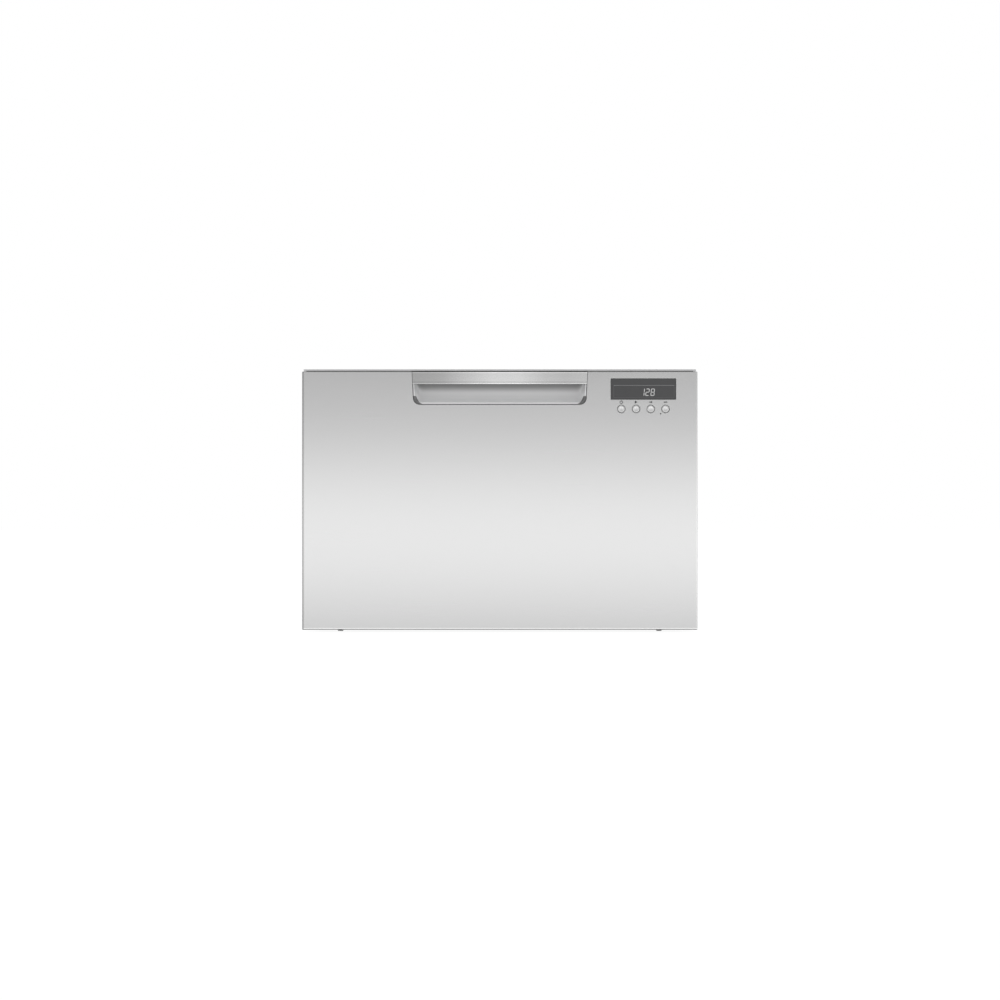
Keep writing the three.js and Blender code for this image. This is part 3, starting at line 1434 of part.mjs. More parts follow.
// Involute teeth on a short pinion, whose axle turns in the actuator.
function lidPinion(side) {
  const base = pinionRadius * Math.cos(pressureAngle);
  const tip = pinionRadius + addendum;
  const root = pinionRadius - dedendum;
  const involute = (radius) => Math.sqrt((radius / base) ** 2 - 1) - Math.acos(base / radius);
  const halfAngle =
    Math.PI / (2 * PINION_TEETH) - BACKLASH / 4 / pinionRadius + involute(pinionRadius);
  const points = [];
  for (let tooth = 0; tooth < PINION_TEETH; tooth++) {
    // A gap of the pinion faces the middle of a rack tooth.
    const middle = (2 * Math.PI * (tooth + 0.5)) / PINION_TEETH;
    const flank = [root, pinionRadius, tip].map((radius) => ({
      radius,
      angle: halfAngle - involute(Math.max(radius, base)),
    }));
    for (const { radius, angle } of flank) points.push([radius, middle - angle]);
    for (const { radius, angle } of flank.toReversed()) points.push([radius, middle + angle]);
  }
  const shape = new THREE.Shape(
    points.map(
      ([radius, angle]) =>
        new THREE.Vector2(pinionY + radius * Math.cos(angle), pinionZ + radius * Math.sin(angle)),
    ),
  );
  const outer = gearsInner + GEAR_WIDTH;
  const teeth = extrude("x", shape, ...span(side * gearsInner, side * outer));
  const axle = rod(
    [side * (gearsInner + 0.5), pinionY, pinionZ],
    [side * (outer + 3.5), pinionY, pinionZ],
    PINION_AXLE / 2,
    8,
  );
  return teeth.add(axle);
}

function lidActuator(side) {
  const near = gearsInner + GEAR_WIDTH + SLIDE_GAP;
  const plateY = [pinionY - ACTUATOR_PLATE[0], pinionY + ACTUATOR_PLATE[1]];
  const outline = roundedShape(plateY, [rimZ - CAN_DROP - 10, ceiling - 2], 4, 2);
  const plate = extrude("x", outline, ...span(side * near, side * railWall));
  const canX = (side * (gearsInner + railWall)) / 2;
  const canZ = rimZ - CAN_DROP;
  const canY = [pinionY - CAN_REACH[0], pinionY + CAN_REACH[1]];
  const canRadius = (railWall - gearsInner) / 2 - GAP;
  const can = rod([canX, canY[0], canZ], [canX, canY[1], canZ], canRadius, 14);
  const boreRadius = PINION_AXLE / 2 + GAP;
  const bore = rod(
    [side * (near - 1), pinionY, pinionZ],
    [side * (near + 3.2), pinionY, pinionZ],
    boreRadius,
    12,
  );
  return plate.add(can).subtract(bore);
}

function lidSeal() {
  const outer = new THREE.Shape(lidOutline(2));
  outer.holes.push(new THREE.Path(lidOutline(2 + SEAL_WIDTH)));
  return extrude("z", outer, rimZ + SLIDE_GAP, lidBottom - GAP);
}

// ---------------------------------------------------------------- rails
// Each rail is a channel: a web along the side and two flanges that hold the next channel.
function channel(side, web, tip, inset) {
  const [z0, z1] = [RAIL_Z - RAIL_HEIGHT / 2 + inset, RAIL_Z + RAIL_HEIGHT / 2 - inset];
  const direction = Math.sign(tip - web);
  const shape = new THREE.Shape(
    [
      [web, z0],
      [tip, z0],
      [tip, z0 + RAIL_SHEET],
      [web + direction * RAIL_SHEET, z0 + RAIL_SHEET],
      [web + direction * RAIL_SHEET, z1 - RAIL_SHEET],
      [tip, z1 - RAIL_SHEET],
      [tip, z1],
      [web, z1],
    ].map(([x, z]) => new THREE.Vector2(side * x, z)),
  );
  return extrude("y", shape, railFront, railBack);
}

const railStep = RAIL_SHEET + SLIDE_GAP;
function railSlots(side) {
  return [0.15, 0.85].map((share) => {
    const y = railFront + (railBack - railFront) * share;
    const slot = roundedShape([y - 9, y + 9], [RAIL_Z - 3, RAIL_Z + 3], 2.9, 1);
    return extrude("x", slot, ...span(side * (flangeHalf - 2), side * (chassisInner + 1)));
  });
}
const railTip = railWall - RAIL_STACK + railStep + 0.6;
const outerRail = (side) => cutBy(channel(side, railWall, railTip, 0), railSlots(side));
const middleRail = (side) => channel(side, railWall - railStep, railTip, railStep);
const innerRail = (side) =>
  cutBy(
    channel(side, railWall - RAIL_STACK, railWall - 2 * railStep, 2 * railStep),
    railSlots(side),
  );

// ---------------------------------------------------------------- chassis
// A pressed stiffener: inside a long round-ended outline, the sheet stands in by its depth.
// It goes in along the axis, from the outer face of the sheet.
function swage(axis, [u, v], sheet, direction) {
  const shrink = ([low, high], inset) => [low + inset, high - inset];
  const drawn = (inset) =>
    roundedShape(shrink(u, inset), shrink(v, inset), SWAGE_WIDTH / 2 - inset - 0.5, 2);
  const depth = (distance) => sheet + direction * distance;
  return {
    hollow: extrude(axis, drawn(SHEET), ...span(depth(-1), depth(SWAGE_DEPTH))),
    bulge: extrude(axis, drawn(0), ...span(depth(0.5), depth(SHEET + SWAGE_DEPTH))),
  };
}

function pressed(sheet, swages) {
  return cutBy(
    joined([sheet, ...swages.map(({ bulge }) => bulge)]),
    swages.map(({ hollow }) => hollow),
  );
}

function chassisWrapper() {
  const back = chassisBack - SHEET - GAP;
  const outer = block([-chassisHalf, chassisHalf], [chassisFront, back], [CHASSIS_BOTTOM, chassisTop]);
  const inner = block(
    [-chassisInner, chassisInner],
    [chassisFront - 1, back + 1],
    [CHASSIS_BOTTOM - 1, chassisTop - SHEET],
  );
  const flanges = [-1, 1].map((side) =>
    block(
      span(side * (chassisInner + 0.5), side * (chassisInner - BASE_FLANGE)),
      [chassisFront + FOOT_SETBACK - FOOT_DIAMETER, back],
      [CHASSIS_BOTTOM, CHASSIS_BOTTOM + SHEET],
    ),
  );
  const along = [chassisFront + SWAGE_MARGIN, back - SWAGE_MARGIN];
  const width = (middle) => [middle - SWAGE_WIDTH / 2, middle + SWAGE_WIDTH / 2];
  const swages = [-1, 1].flatMap((side) =>
    SIDE_SWAGE_Z.map((z) => swage("x", [along, width(z)], side * chassisHalf, -side)),
  );
  for (const x of TOP_SWAGE_X) swages.push(swage("z", [width(x), along], chassisTop, -1));
  const sheets = pressed(joined([outer.subtract(inner), ...flanges]), swages);
  return cutBy(joined([sheets, ...[-1, 1].map(sidePlate)]), [-1, 1].flatMap(screwSlots));
}

function frontTrim() {
  const outer = block(
    [-chassisHalf - TRIM, chassisHalf + TRIM],
    [chassisFront - TRIM - GAP, chassisFront + TRIM_DEPTH],
    [CHASSIS_BOTTOM, chassisTop + TRIM],
  );
  const sheetSlot = block(
    [-chassisHalf - GAP, chassisHalf + GAP],
    [chassisFront - GAP, chassisFront + TRIM_DEPTH + 1],
    [CHASSIS_BOTTOM - 1, chassisTop + GAP],
  );
  const opening = block(
    [-chassisInner, chassisInner],
    [chassisFront - TRIM - 1, chassisFront + 1],
    [CHASSIS_BOTTOM - 1, chassisTop - SHEET],
  );
  return cutBy(outer, [sheetSlot, opening]);
}

const bracketY = chassisFront + TRIM_DEPTH + GAP + BRACKET_WIDTH / 2;
const bracketTop = chassisTop - BRACKET_DROP;
const footX = chassisHalf - FOOT_INSET;
const footY = [chassisFront + FOOT_SETBACK, chassisBack - FOOT_SETBACK];
const panBack = chassisBack - SHEET - GAP;

function recessSpan(margin) {
  return [
    [recessX - RECESS_WIDTH / 2 - margin, recessX + RECESS_WIDTH / 2 + margin],
    [RECESS_Z - margin, RECESS_Z + RECESS_HEIGHT + margin],
  ];
}

function backPanel() {
  const [front, back] = [chassisBack - SHEET, chassisBack];
  const bottom = CHASSIS_BOTTOM;
  const plate = block([-chassisHalf, chassisHalf], [front, back], [bottom, chassisTop]);
  const [x, z] = recessSpan(0);
  const [wideX, wideZ] = recessSpan(SHEET);
  const box = block(wideX, [back - RECESS_DEPTH - SHEET, back - 0.2], wideZ);
  const hollow = block(x, [back - RECESS_DEPTH, back + 1], z);
  const holes = [
    recessHole(INLET_DIAMETER / 2 - 4, INLET_OFFSET),
    recessHole(DRAIN_DIAMETER / 2 + GAP, DRAIN_OFFSET),
    recessHole(CORD_BORE / 2, CORD_OFFSET),
  ];
  const swageX = [-chassisHalf + SWAGE_MARGIN, chassisHalf - SWAGE_MARGIN];
  const swages = BACK_SWAGE_Z.map((z) =>
    swage("y", [swageX, [z - SWAGE_WIDTH / 2, z + SWAGE_WIDTH / 2]], back, -1),
  );
  return cutBy(pressed(plate, swages).add(box), [hollow, ...holes]);
}
const recessMiddle = RECESS_Z + RECESS_HEIGHT / 2;
const recessWall = chassisBack - RECESS_DEPTH;
function recessHole(radius, offset) {
  const [start, end] = [recessWall - SHEET - 2, recessWall + 1];
  const profile = [[0, start], [radius, start], [radius, end], [0, end]];
  return turnedAlongY(profile, recessX + offset, recessMiddle, 16);
}

function basePan() {
  const half = chassisInner - GAP;
  const [front, back] = [chassisFront + 2, panBack];
  const [top, lip] = [panFloor + PAN_HEIGHT, panFloor + PAN_LIP];
  const ribTop = panFloor + PAN_WALL + PAN_RIB;
  const outer = extrude("z", roundedShape([-half, half], [front, back], 3, 1), panFloor, top);
  const inner = extrude(
    "z",
    roundedShape([-half + PAN_WALL, half - PAN_WALL], [front + PAN_WALL, back - PAN_WALL], 6, 1),
    panFloor + PAN_WALL,
    top + 1,
  );
  const lowFront = block([-half - 1, half + 1], [front - 1, front + 24], [lip, top + 1]);
  const posts = (radius, z0, z1) =>
    footPlaces().map(([x, y]) => turned([[0, z0], [radius, z0], [radius, z1], [0, z1]], x, y, 12));
  const bosses = posts(FOOT_BOSS / 2, panFloor + 0.5, top - 2);
  const holes = posts(STEM_DIAMETER / 2 + GAP, panFloor - 1, top + 1);
  const ribs = [
    block([-PAN_WALL / 2, PAN_WALL / 2], [front + 2, back - 2], [panFloor + 1, ribTop]),
    ...[-1, 1].map((end) => {
      const y = tubY + end * PAN_RIB_REACH;
      return block([-half + 2, half - 2], [y - PAN_WALL / 2, y + PAN_WALL / 2], [panFloor + 1, ribTop]);
    }),
  ];
  return cutBy(joined([outer.subtract(inner), ...bosses, ...ribs]), [lowFront, ...holes]);
}

const footPlaces = () => [-1, 1].flatMap((side) => footY.map((y) => [side * footX, y]));
function foot([x, y]) {
  const radius = FOOT_DIAMETER / 2;
  const stem = STEM_DIAMETER / 2;
  return turned(
    [
      [0, 0],
      [radius, 0],
      [radius, FOOT_PAD - 3],
      [radius * 0.6, FOOT_PAD],
      [stem, FOOT_PAD],
      [stem, STEM_LENGTH],
      [0, STEM_LENGTH],
    ],
    x,
    y,
    12,
  );
}

// Steel plates welded to the sides of the chassis take the screws into the cabinet.
function sidePlate(side) {
  const y = [bracketY - BRACKET_WIDTH / 2, bracketY + BRACKET_WIDTH / 2];
  const z = [bracketTop - BRACKET_HEIGHT, bracketTop];
  const depth = span(side * (chassisHalf - SHEET / 2), side * (chassisHalf + BRACKET_SHEET));
  return extrude("x", roundedShape(y, z, 5, 1), ...depth);
}

// The screws into the cabinet go through the chassis and its plate from inside.
function screwSlots(side) {
  const [halfY, halfZ] = [SCREW_SLOT_LENGTH / 2, SCREW_SLOT / 2];
  return [0.25, 0.75].map((share) => {
    const z = bracketTop - BRACKET_HEIGHT * share;
    const slot = roundedShape([bracketY - halfY, bracketY + halfY], [z - halfZ, z + halfZ], halfZ - 0.1, 1);
    return extrude("x", slot, ...span(side * (chassisInner - 1), (side * WIDTH) / 2));
  });
}

// ---------------------------------------------------------------- connections at the back
function inletValve() {
  const radius = INLET_DIAMETER / 2;
  const start = recessWall + GAP;
  const end = chassisBack - 3;
  return turnedAlongY(
    [
      [0, start],
      [radius + 4, start],
      [radius + 4, start + 8],
      [radius, start + 8],
      [radius, end],
      [radius - 3.4, end],
      [radius - 3.4, start + 14],
      [0, start + 14],
    ],
    recessX + INLET_OFFSET,
    recessMiddle,
    14,
  );
}

function drainSpigot() {
  const radius = DRAIN_DIAMETER / 2;
  const wall = 2.2;
  const start = recessWall - SHEET - 8;
  const end = chassisBack - 4;
  return turnedAlongY(
    [
      [radius, start],
      [radius, recessWall + GAP],
      [radius + 7, recessWall + GAP],
      [radius + 7, recessWall + 3],
      [radius, recessWall + 3],
      [radius, end - 8],
      [radius + 1.6, end - 7],
      [radius - 0.4, end],
      [radius - wall, end],
      [radius - wall, start],
      [radius, start],
    ],
    recessX + DRAIN_OFFSET,
    recessMiddle,
    12,
  );
}

function cordInlet() {
  const radius = GLAND_DIAMETER / 2;
  const start = recessWall + GAP;
  const bore = CORD_BORE / 2;
  return turnedAlongY(
    [
      [bore, start],
      [radius + 3, start],
      [radius + 3, start + 5],
      [radius, start + 6],
      [radius, start + 14],
      [radius - 3, start + 18],
      [bore, start + 18],
      [bore, start],
    ],
    recessX + CORD_OFFSET,
    recessMiddle,
    12,
  );
}

function powerModule() {
  const foot = panFloor + PAN_WALL + GAP;
  const [z0, z1] = [foot + 4, foot + MODULE_HEIGHT];
  const [y0, y1] = [panBack - PAN_WALL - MODULE_DEPTH - 8, panBack - PAN_WALL - 8];
  const [x0, x1] = [moduleX - MODULE_WIDTH / 2, moduleX + MODULE_WIDTH / 2];
  const body = extrude("z", roundedShape([x0, x1], [y0, y1], 4, 2), z0, z1);
  const feet = [x0 + 10, x1 - 10].flatMap((x) =>
    [y0 + 10, y1 - 10].map((y) => block([x - 5, x + 5], [y - 5, y + 5], [foot, z0 + 1])),
  );
  const fins = spaced(5, y0 + 8, y1 - 15).map((y) => block([x0 + 8, x1 - 8], [y, y + 7], [z1 - 3, z1 + 1]));
  return cutBy(joined([body, ...feet]), fins);
}

// ---------------------------------------------------------------- assembly
const NAMES = { [-1]: "left", 1: "right" };

place(chassis, "chassis_wrapper", chassisWrapper(), "galvanised");
place(chassis, "back_panel", backPanel(), "galvanised");
place(chassis, "base_pan", basePan(), "darkPlastic");
place(chassis, "front_trim", frontTrim(), "greyPlastic");
place(chassis, "power_module", powerModule(), "darkPlastic");
place(chassis, "inlet_valve", inletValve(), "palePlastic");
place(chassis, "drain_spigot", drainSpigot(), "darkPlastic");
place(chassis, "cord_inlet", cordInlet(), "darkPlastic");
for (const side of [-1, 1]) {
  place(chassis, `outer_rail_${NAMES[side]}`, outerRail(side), "galvanised");
  place(chassis, `middle_rail_${NAMES[side]}`, middleRail(side), "galvanised");
  place(chassis, `lid_actuator_${NAMES[side]}`, lidActuator(side), "darkPlastic");
  place(chassis, `lid_pinion_${NAMES[side]}`, lidPinion(side), "palePlastic");
  ["front", "back"].forEach((end, i) => {
    place(chassis, `${end}_foot_${NAMES[side]}`, foot([side * footX, footY[i]]), "darkPlastic");
  });
}
place(chassis, "lid", lid(), "palePlastic");
place(chassis, "lid_seal", lidSeal(), "rubber");

place(drawer, "front_skin", frontSkin(), "stainless");
place(drawer, "front_frame", frontFrame(), "greyPlastic");
place(drawer, "handle_pocket", handlePocket(), "greyPlastic");
place(drawer, "handle_bar", handleBar(), "stainless");
place(drawer, "display_lens", displayLens(), "glass");
place(drawer, "control_board", controlBoard(), "board");
place(drawer, "console_hood", consoleHood(), "greyPlastic");
["power", "program", "option", "start"].forEach((use, i) => {
  place(drawer, `${use}_button`, button(buttonX[i]), "palePlastic");
});
place(drawer, "tub", tub(), "palePlastic");
place(drawer, "wash_motor", washMotor(), "darkPlastic");
place(drawer, "wash_impeller", washImpeller(), "palePlastic");
place(drawer, "pump_cover", pumpCover(), "greyPlastic");
place(drawer, "heater_plate", heaterPlate(), "stainless");
place(drawer, "filter_plate", filterPlate(), "greyPlastic");
place(drawer, "drain_filter", drainFilter(), "greyPlastic");
place(drawer, "spray_arm", sprayArm(), "greyPlastic");
place(drawer, "drain_pump", drainPump(), "darkPlastic");
place(drawer, "detergent_dispenser", dispenser(), "palePlastic");
place(drawer, "dispenser_door", dispenserDoor(), "greyPlastic");
place(drawer, "rinse_aid_cap", rinseCap(), "greyPlastic");
place(drawer, "vent_cap", ventCap(), "greyPlastic");
place(drawer, "fan_housing", fanHousing(), "darkPlastic");
place(drawer, "fan_wheel", fanWheel(), "palePlastic");
place(drawer, "base_rack", baseRack(), "rackPlastic");
place(drawer, "rack_rim", rackRim(), "rackPlastic");
for (const side of [-1, 1]) {
  ["outer", "inner"].forEach((row, i) => {
    const x = side * (rackHalf - TINE_ROW_INSET[i]);
    const shift = row === "outer" ? TINE_PITCH / 4 : -TINE_PITCH / 4;
    place(drawer, `tines_${row}_${NAMES[side]}`, tineRow(x, shift), "rackPlastic");
  });
  place(drawer, `inner_rail_${NAMES[side]}`, innerRail(side), "galvanised");
  place(drawer, `cup_rack_${NAMES[side]}`, cupRack(side), "rackPlastic");
}
place(drawer, "cutlery_basket", cutleryBasket(), "greyPlastic");

export default object;
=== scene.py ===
import json
import math
from contextlib import contextmanager

import bmesh
import bpy
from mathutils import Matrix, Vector
from mathutils.geometry import tessellate_polygon


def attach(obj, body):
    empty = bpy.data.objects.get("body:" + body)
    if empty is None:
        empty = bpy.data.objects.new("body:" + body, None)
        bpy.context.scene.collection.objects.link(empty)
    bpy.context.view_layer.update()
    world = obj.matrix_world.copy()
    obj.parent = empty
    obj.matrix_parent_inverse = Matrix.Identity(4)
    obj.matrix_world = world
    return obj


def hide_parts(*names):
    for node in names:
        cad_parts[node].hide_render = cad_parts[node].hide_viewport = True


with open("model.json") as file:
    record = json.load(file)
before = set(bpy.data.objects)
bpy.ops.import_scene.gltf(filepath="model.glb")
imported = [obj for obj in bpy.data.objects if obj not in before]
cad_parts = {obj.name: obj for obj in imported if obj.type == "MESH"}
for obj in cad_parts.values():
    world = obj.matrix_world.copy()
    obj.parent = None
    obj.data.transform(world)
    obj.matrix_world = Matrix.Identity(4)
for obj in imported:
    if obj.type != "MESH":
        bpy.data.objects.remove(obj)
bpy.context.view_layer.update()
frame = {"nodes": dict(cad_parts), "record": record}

MM = 0.001
slots = {part["node"]: part["material_slot"] for part in frame["record"]["subparts"]}
bodies = {n: b for b, members in frame["record"]["behaviour"]["bodies"].items() for n in members}

# ---------------------------------------------------------------- places, in millimetres
WIDTH = 599.0
FRONT = -285.0  # face of the drawer front
FRAME_BACK = -265.0
FRONT_BOTTOM = 4.0
FRONT_TOP = 395.0
FRONT_CORNER = 1.4
SKIN = 1.0
GAP = 0.3
AXIS = 0.001  # the smallest radius of a turned piece, merged to a point on its axis

# Radii of the bends at the outer edges, the handle's notch, the window and the button holes.
OUTER_BEND = 0.9
NOTCH_BEND = 0.35
WINDOW_BEND = 0.45
HOLE_BEND = 0.25

HANDLE_WIDTH = 266.6
HANDLE_TAPER = 1.9
HANDLE_DROP = 50.0
HANDLE_CORNER = 10.0
BAR_HEIGHT = 19.0
BAR_THICKNESS = 4.5
BAR_PROUD = 1.5
BAR_SUNK = 0.4  # below the top of the drawer front
BAR_EDGE = 1.4
POST_THICKNESS = 3.0
POST_REACH = (2.0, 14.0)  # behind the face of the drawer front
SCOOP_DEPTH = 29.0
SCOOP_LIP = 2.6
SCOOP_RISE = 27.0
SCOOP_DRAW = 11.0
SCOOP_ARC = 0.96
POCKET_WALL = 2.4
RIM_SUNK = 0.4  # the pocket's rim, behind the face of the drawer front
GROOVE_WIDTH = 1.35  # between the steel and the pocket's rim
GROOVE_DEPTH = 4.2

# A black strip over the drawer front, which paints the shade of the gap there: its half width, heights and
# depths.
SHADOW_STRIP_HALF_WIDTH = 294.0
SHADOW_STRIP_HEIGHTS = (394.7, 396.6)
SHADOW_STRIP_DEPTHS = (-264.68, -264.4)

DISPLAY_X, DISPLAY_Z = 217.5, 368.6
DISPLAY_WIDTH, DISPLAY_HEIGHT = 99.0, 32.0
DISPLAY_CORNER = 0.8
DISPLAY_LINES = (172.5, 264.4, 355.6, 374.5)  # left, right, foot and top of the lines round the number
LENS_SUNK = 0.3
LENS_THICKNESS = 3.0
BUTTON_X = (184.05, 206.35, 228.65, 250.95)
BUTTON_Z = 338.4
BUTTON_DIAMETER = 11.8
HOLE_MARGIN = 0.4  # from the button's diameter out to the hole in the steel
CAP_MARGIN = 0.35  # from the button's diameter in to the cap
CAP_PROUD = 0.9
FLANGE_FRONT = -279.2
STEM_END = -275.1
ICON_Z = 348.8
DOT_PLACE = (243.6, 331.2)


# ---------------------------------------------------------------- meshes
@contextmanager
def opened(piece):
    """The mesh of a piece, open for changes."""
    made = bmesh.new()
    made.from_mesh(piece.data)
    yield made
    made.to_mesh(piece.data)
    made.free()


def placed(name, data):
    """An object in the scene, from its data."""
    thing = bpy.data.objects.new(name, data)
    bpy.context.scene.collection.objects.link(thing)
    return thing


def cleaned(piece):
    """Merges the doubles of a mesh and turns its faces outwards."""
    with opened(piece) as made:
        bmesh.ops.remove_doubles(made, verts=made.verts, dist=1e-6)
        bmesh.ops.recalc_face_normals(made, faces=made.faces)
    return piece


def object_of(name, points, faces):
    """A mesh object from points in millimetres."""
    mesh = bpy.data.meshes.new(name)
    mesh.from_pydata([[c * MM for c in p] for p in points], [], faces)
    return cleaned(placed(name, mesh))


def join(piece, *others):
    """Adds other meshes to the piece, each as one more shell of it."""
    with opened(piece) as made:
        for other in others:
            made.from_mesh(other.data)
    for other in others:
        bpy.data.objects.remove(other)
    return piece


def settle(piece):
    """Turns a piece with live modifiers into a plain mesh."""
    graph = bpy.context.evaluated_depsgraph_get()
    mesh = bpy.data.meshes.new_from_object(piece.evaluated_get(graph))
    piece.modifiers.clear()
    piece.data = mesh
    return piece


def shade(piece, angle):
    """Smooth shading, with edges sharper than the angle kept crisp."""
    mesh = piece.data
    mesh.polygons.foreach_set("use_smooth", [True] * len(mesh.polygons))
    with opened(piece) as made:
        for edge in made.edges:
            edge.smooth = len(edge.link_faces) == 2 and edge.calc_face_angle(0) < math.radians(angle)
    # Large flat faces keep their own direction, and only the bends beside them shade round.
    normals = piece.modifiers.new("weighted", "WEIGHTED_NORMAL")
    normals.keep_sharp = True
    normals.weight = 90
    return settle(piece)


def fit(piece, material, body):
    """Gives a finished piece its material and its body."""
    piece.data.materials.clear()
    piece.data.materials.append(material)
    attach(piece, body)


def stand_in(piece, material, node):
    """Puts a finished piece in the place of a CAD node, with its material and on its body."""
    fit(piece, material, bodies[node])
    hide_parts(node)


def softened(node, width, added):
    """A copy of a CAD node with small radii on its edges, and any finer shapes added to it."""
    piece = placed(node + "_finished", frame["nodes"][node].data.copy())
    flat, crisp = math.radians(1.5), math.radians(28)
    with opened(piece) as made:
        verts, edges = made.verts, made.edges
        bmesh.ops.remove_doubles(made, verts=verts, dist=2e-6)
        bmesh.ops.dissolve_limit(made, angle_limit=flat, verts=verts, edges=edges, delimit={"NORMAL"})
    bevel = piece.modifiers.new("radii", "BEVEL")
    bevel.width = width * MM
    bevel.segments = 2
    bevel.limit_method = "ANGLE"
    bevel.angle_limit = crisp
    bevel.harden_normals = False
    bevel.use_clamp_overlap = True
    settle(piece)
    if added:
        join(piece, added)
    return shade(piece, 42)


def lofted(name, rings, closed_ends=True):
    """Rings of points, all of one length, skinned in order."""
    count = len(rings[0])
    points = [p for ring in rings for p in ring]
    faces = []
    for r in range(len(rings) - 1):
        for i in range(count):
            a, b = r * count + i, r * count + (i + 1) % count
            faces.append((a, b, b + count, a + count))
    if closed_ends:
        faces.append(tuple(reversed(range(count))))
        faces.append(tuple((len(rings) - 1) * count + i for i in range(count)))
    return object_of(name, points, faces)


def box_mesh(name, x, y, z):
    """A plain box between two places each way."""
    corners = [(a, b, c) for a in x for b in y for c in z]
    faces = [(0, 1, 3, 2), (4, 6, 7, 5), (0, 4, 5, 1), (2, 3, 7, 6), (0, 2, 6, 4), (1, 5, 7, 3)]
    return object_of(name, corners, faces)


def cut(piece, tool):
    """Cuts the tool out of the piece and removes the tool."""
    change = piece.modifiers.new("cut", "BOOLEAN")
    change.operation = "DIFFERENCE"
    change.solver = "EXACT"
    change.object = tool
    settle(piece)
    bpy.data.objects.remove(tool)
    return piece


def turned(name, profile, centre, axis="z", segments=64):
    """A piece turned about an axis, from [radius, height] pairs that close on themselves or the axis."""
    rings = []
    for radius, height in profile:
        ring = []
        for i in range(segments):
            angle = 2 * math.pi * i / segments
            u, v = radius * math.cos(angle), radius * math.sin(angle)
            if axis == "z":
                ring.append((centre[0] + u, centre[1] + v, height))
            else:
                ring.append((centre[0] + u, height, centre[1] + v))
        rings.append(ring)
    return lofted(name, rings, closed_ends=profile[0] != profile[-1])


def rounded_corners(x0, x1, z0, z1, radius, steps):
    """The points of a rectangle with round corners, anticlockwise."""
    points = []
    corners = ((x1 - radius, z1 - radius), (x0 + radius, z1 - radius))
    corners += ((x0 + radius, z0 + radius), (x1 - radius, z0 + radius))
    for quarter, (x, z) in enumerate(corners):
        for i in range(steps + 1):
            angle = (quarter + i / steps) * math.pi / 2
            points.append((x + radius * math.cos(angle), z + radius * math.sin(angle)))
    return points


def moved_in(loop, distances):
    """Each point of a closed loop moved to the left of its way round, by its own distance."""
    count = len(loop)
    result = []
    for i, (x, z) in enumerate(loop):
        (ax, az), (bx, bz) = loop[i - 1], loop[(i + 1) % count]
        before = Vector((x - ax, z - az)).normalized()
        after = Vector((bx - x, bz - z)).normalized()
        left = Vector((-before.y - after.y, before.x + after.x))
        if left.length < 1e-9:
            left = Vector((-before.y, before.x))
        left.normalize()
        spread = max(left.dot(Vector((-before.y, before.x))), 0.5)
        result.append((x + left.x * distances[i] / spread, z + left.y * distances[i] / spread))
    return result


def faced_plate(name, loops, stations):
    """A plate that faces the front: an outline and its holes, taken through stations from front to back.

    Each station gives, for a loop and a point of it, how far in the point lies and its place in Y.
    The outline runs anticlockwise and the holes clockwise, seen from the front."""
    points, faces = [], []
    first_cap, last_cap = [], []
    for n, loop in enumerate(loops):
        count = len(loop)
        rings = []
        for station in stations:
            values = [station(n, i) for i in range(count)]
            inner = moved_in(loop, [v[0] for v in values])
            start = len(points)
            points += [(x, v[1], z) for (x, z), v in zip(inner, values)]
            rings.append(range(start, start + count))
        for a, b in zip(rings, rings[1:]):
            for i in range(count):
                j = (i + 1) % count
                faces.append((a[i], a[j], b[j], b[i]))
        first_cap.append(list(rings[0]))
        last_cap.append(list(rings[-1]))
    for cap in (first_cap, last_cap):
        flat = [k for ring in cap for k in ring]
        loops_2d = [[Vector((points[k][0], points[k][2], 0)) for k in ring] for ring in cap]
        for triangle in tessellate_polygon(loops_2d):
            faces.append(tuple(flat[k] for k in triangle))
    return object_of(name, points, faces)


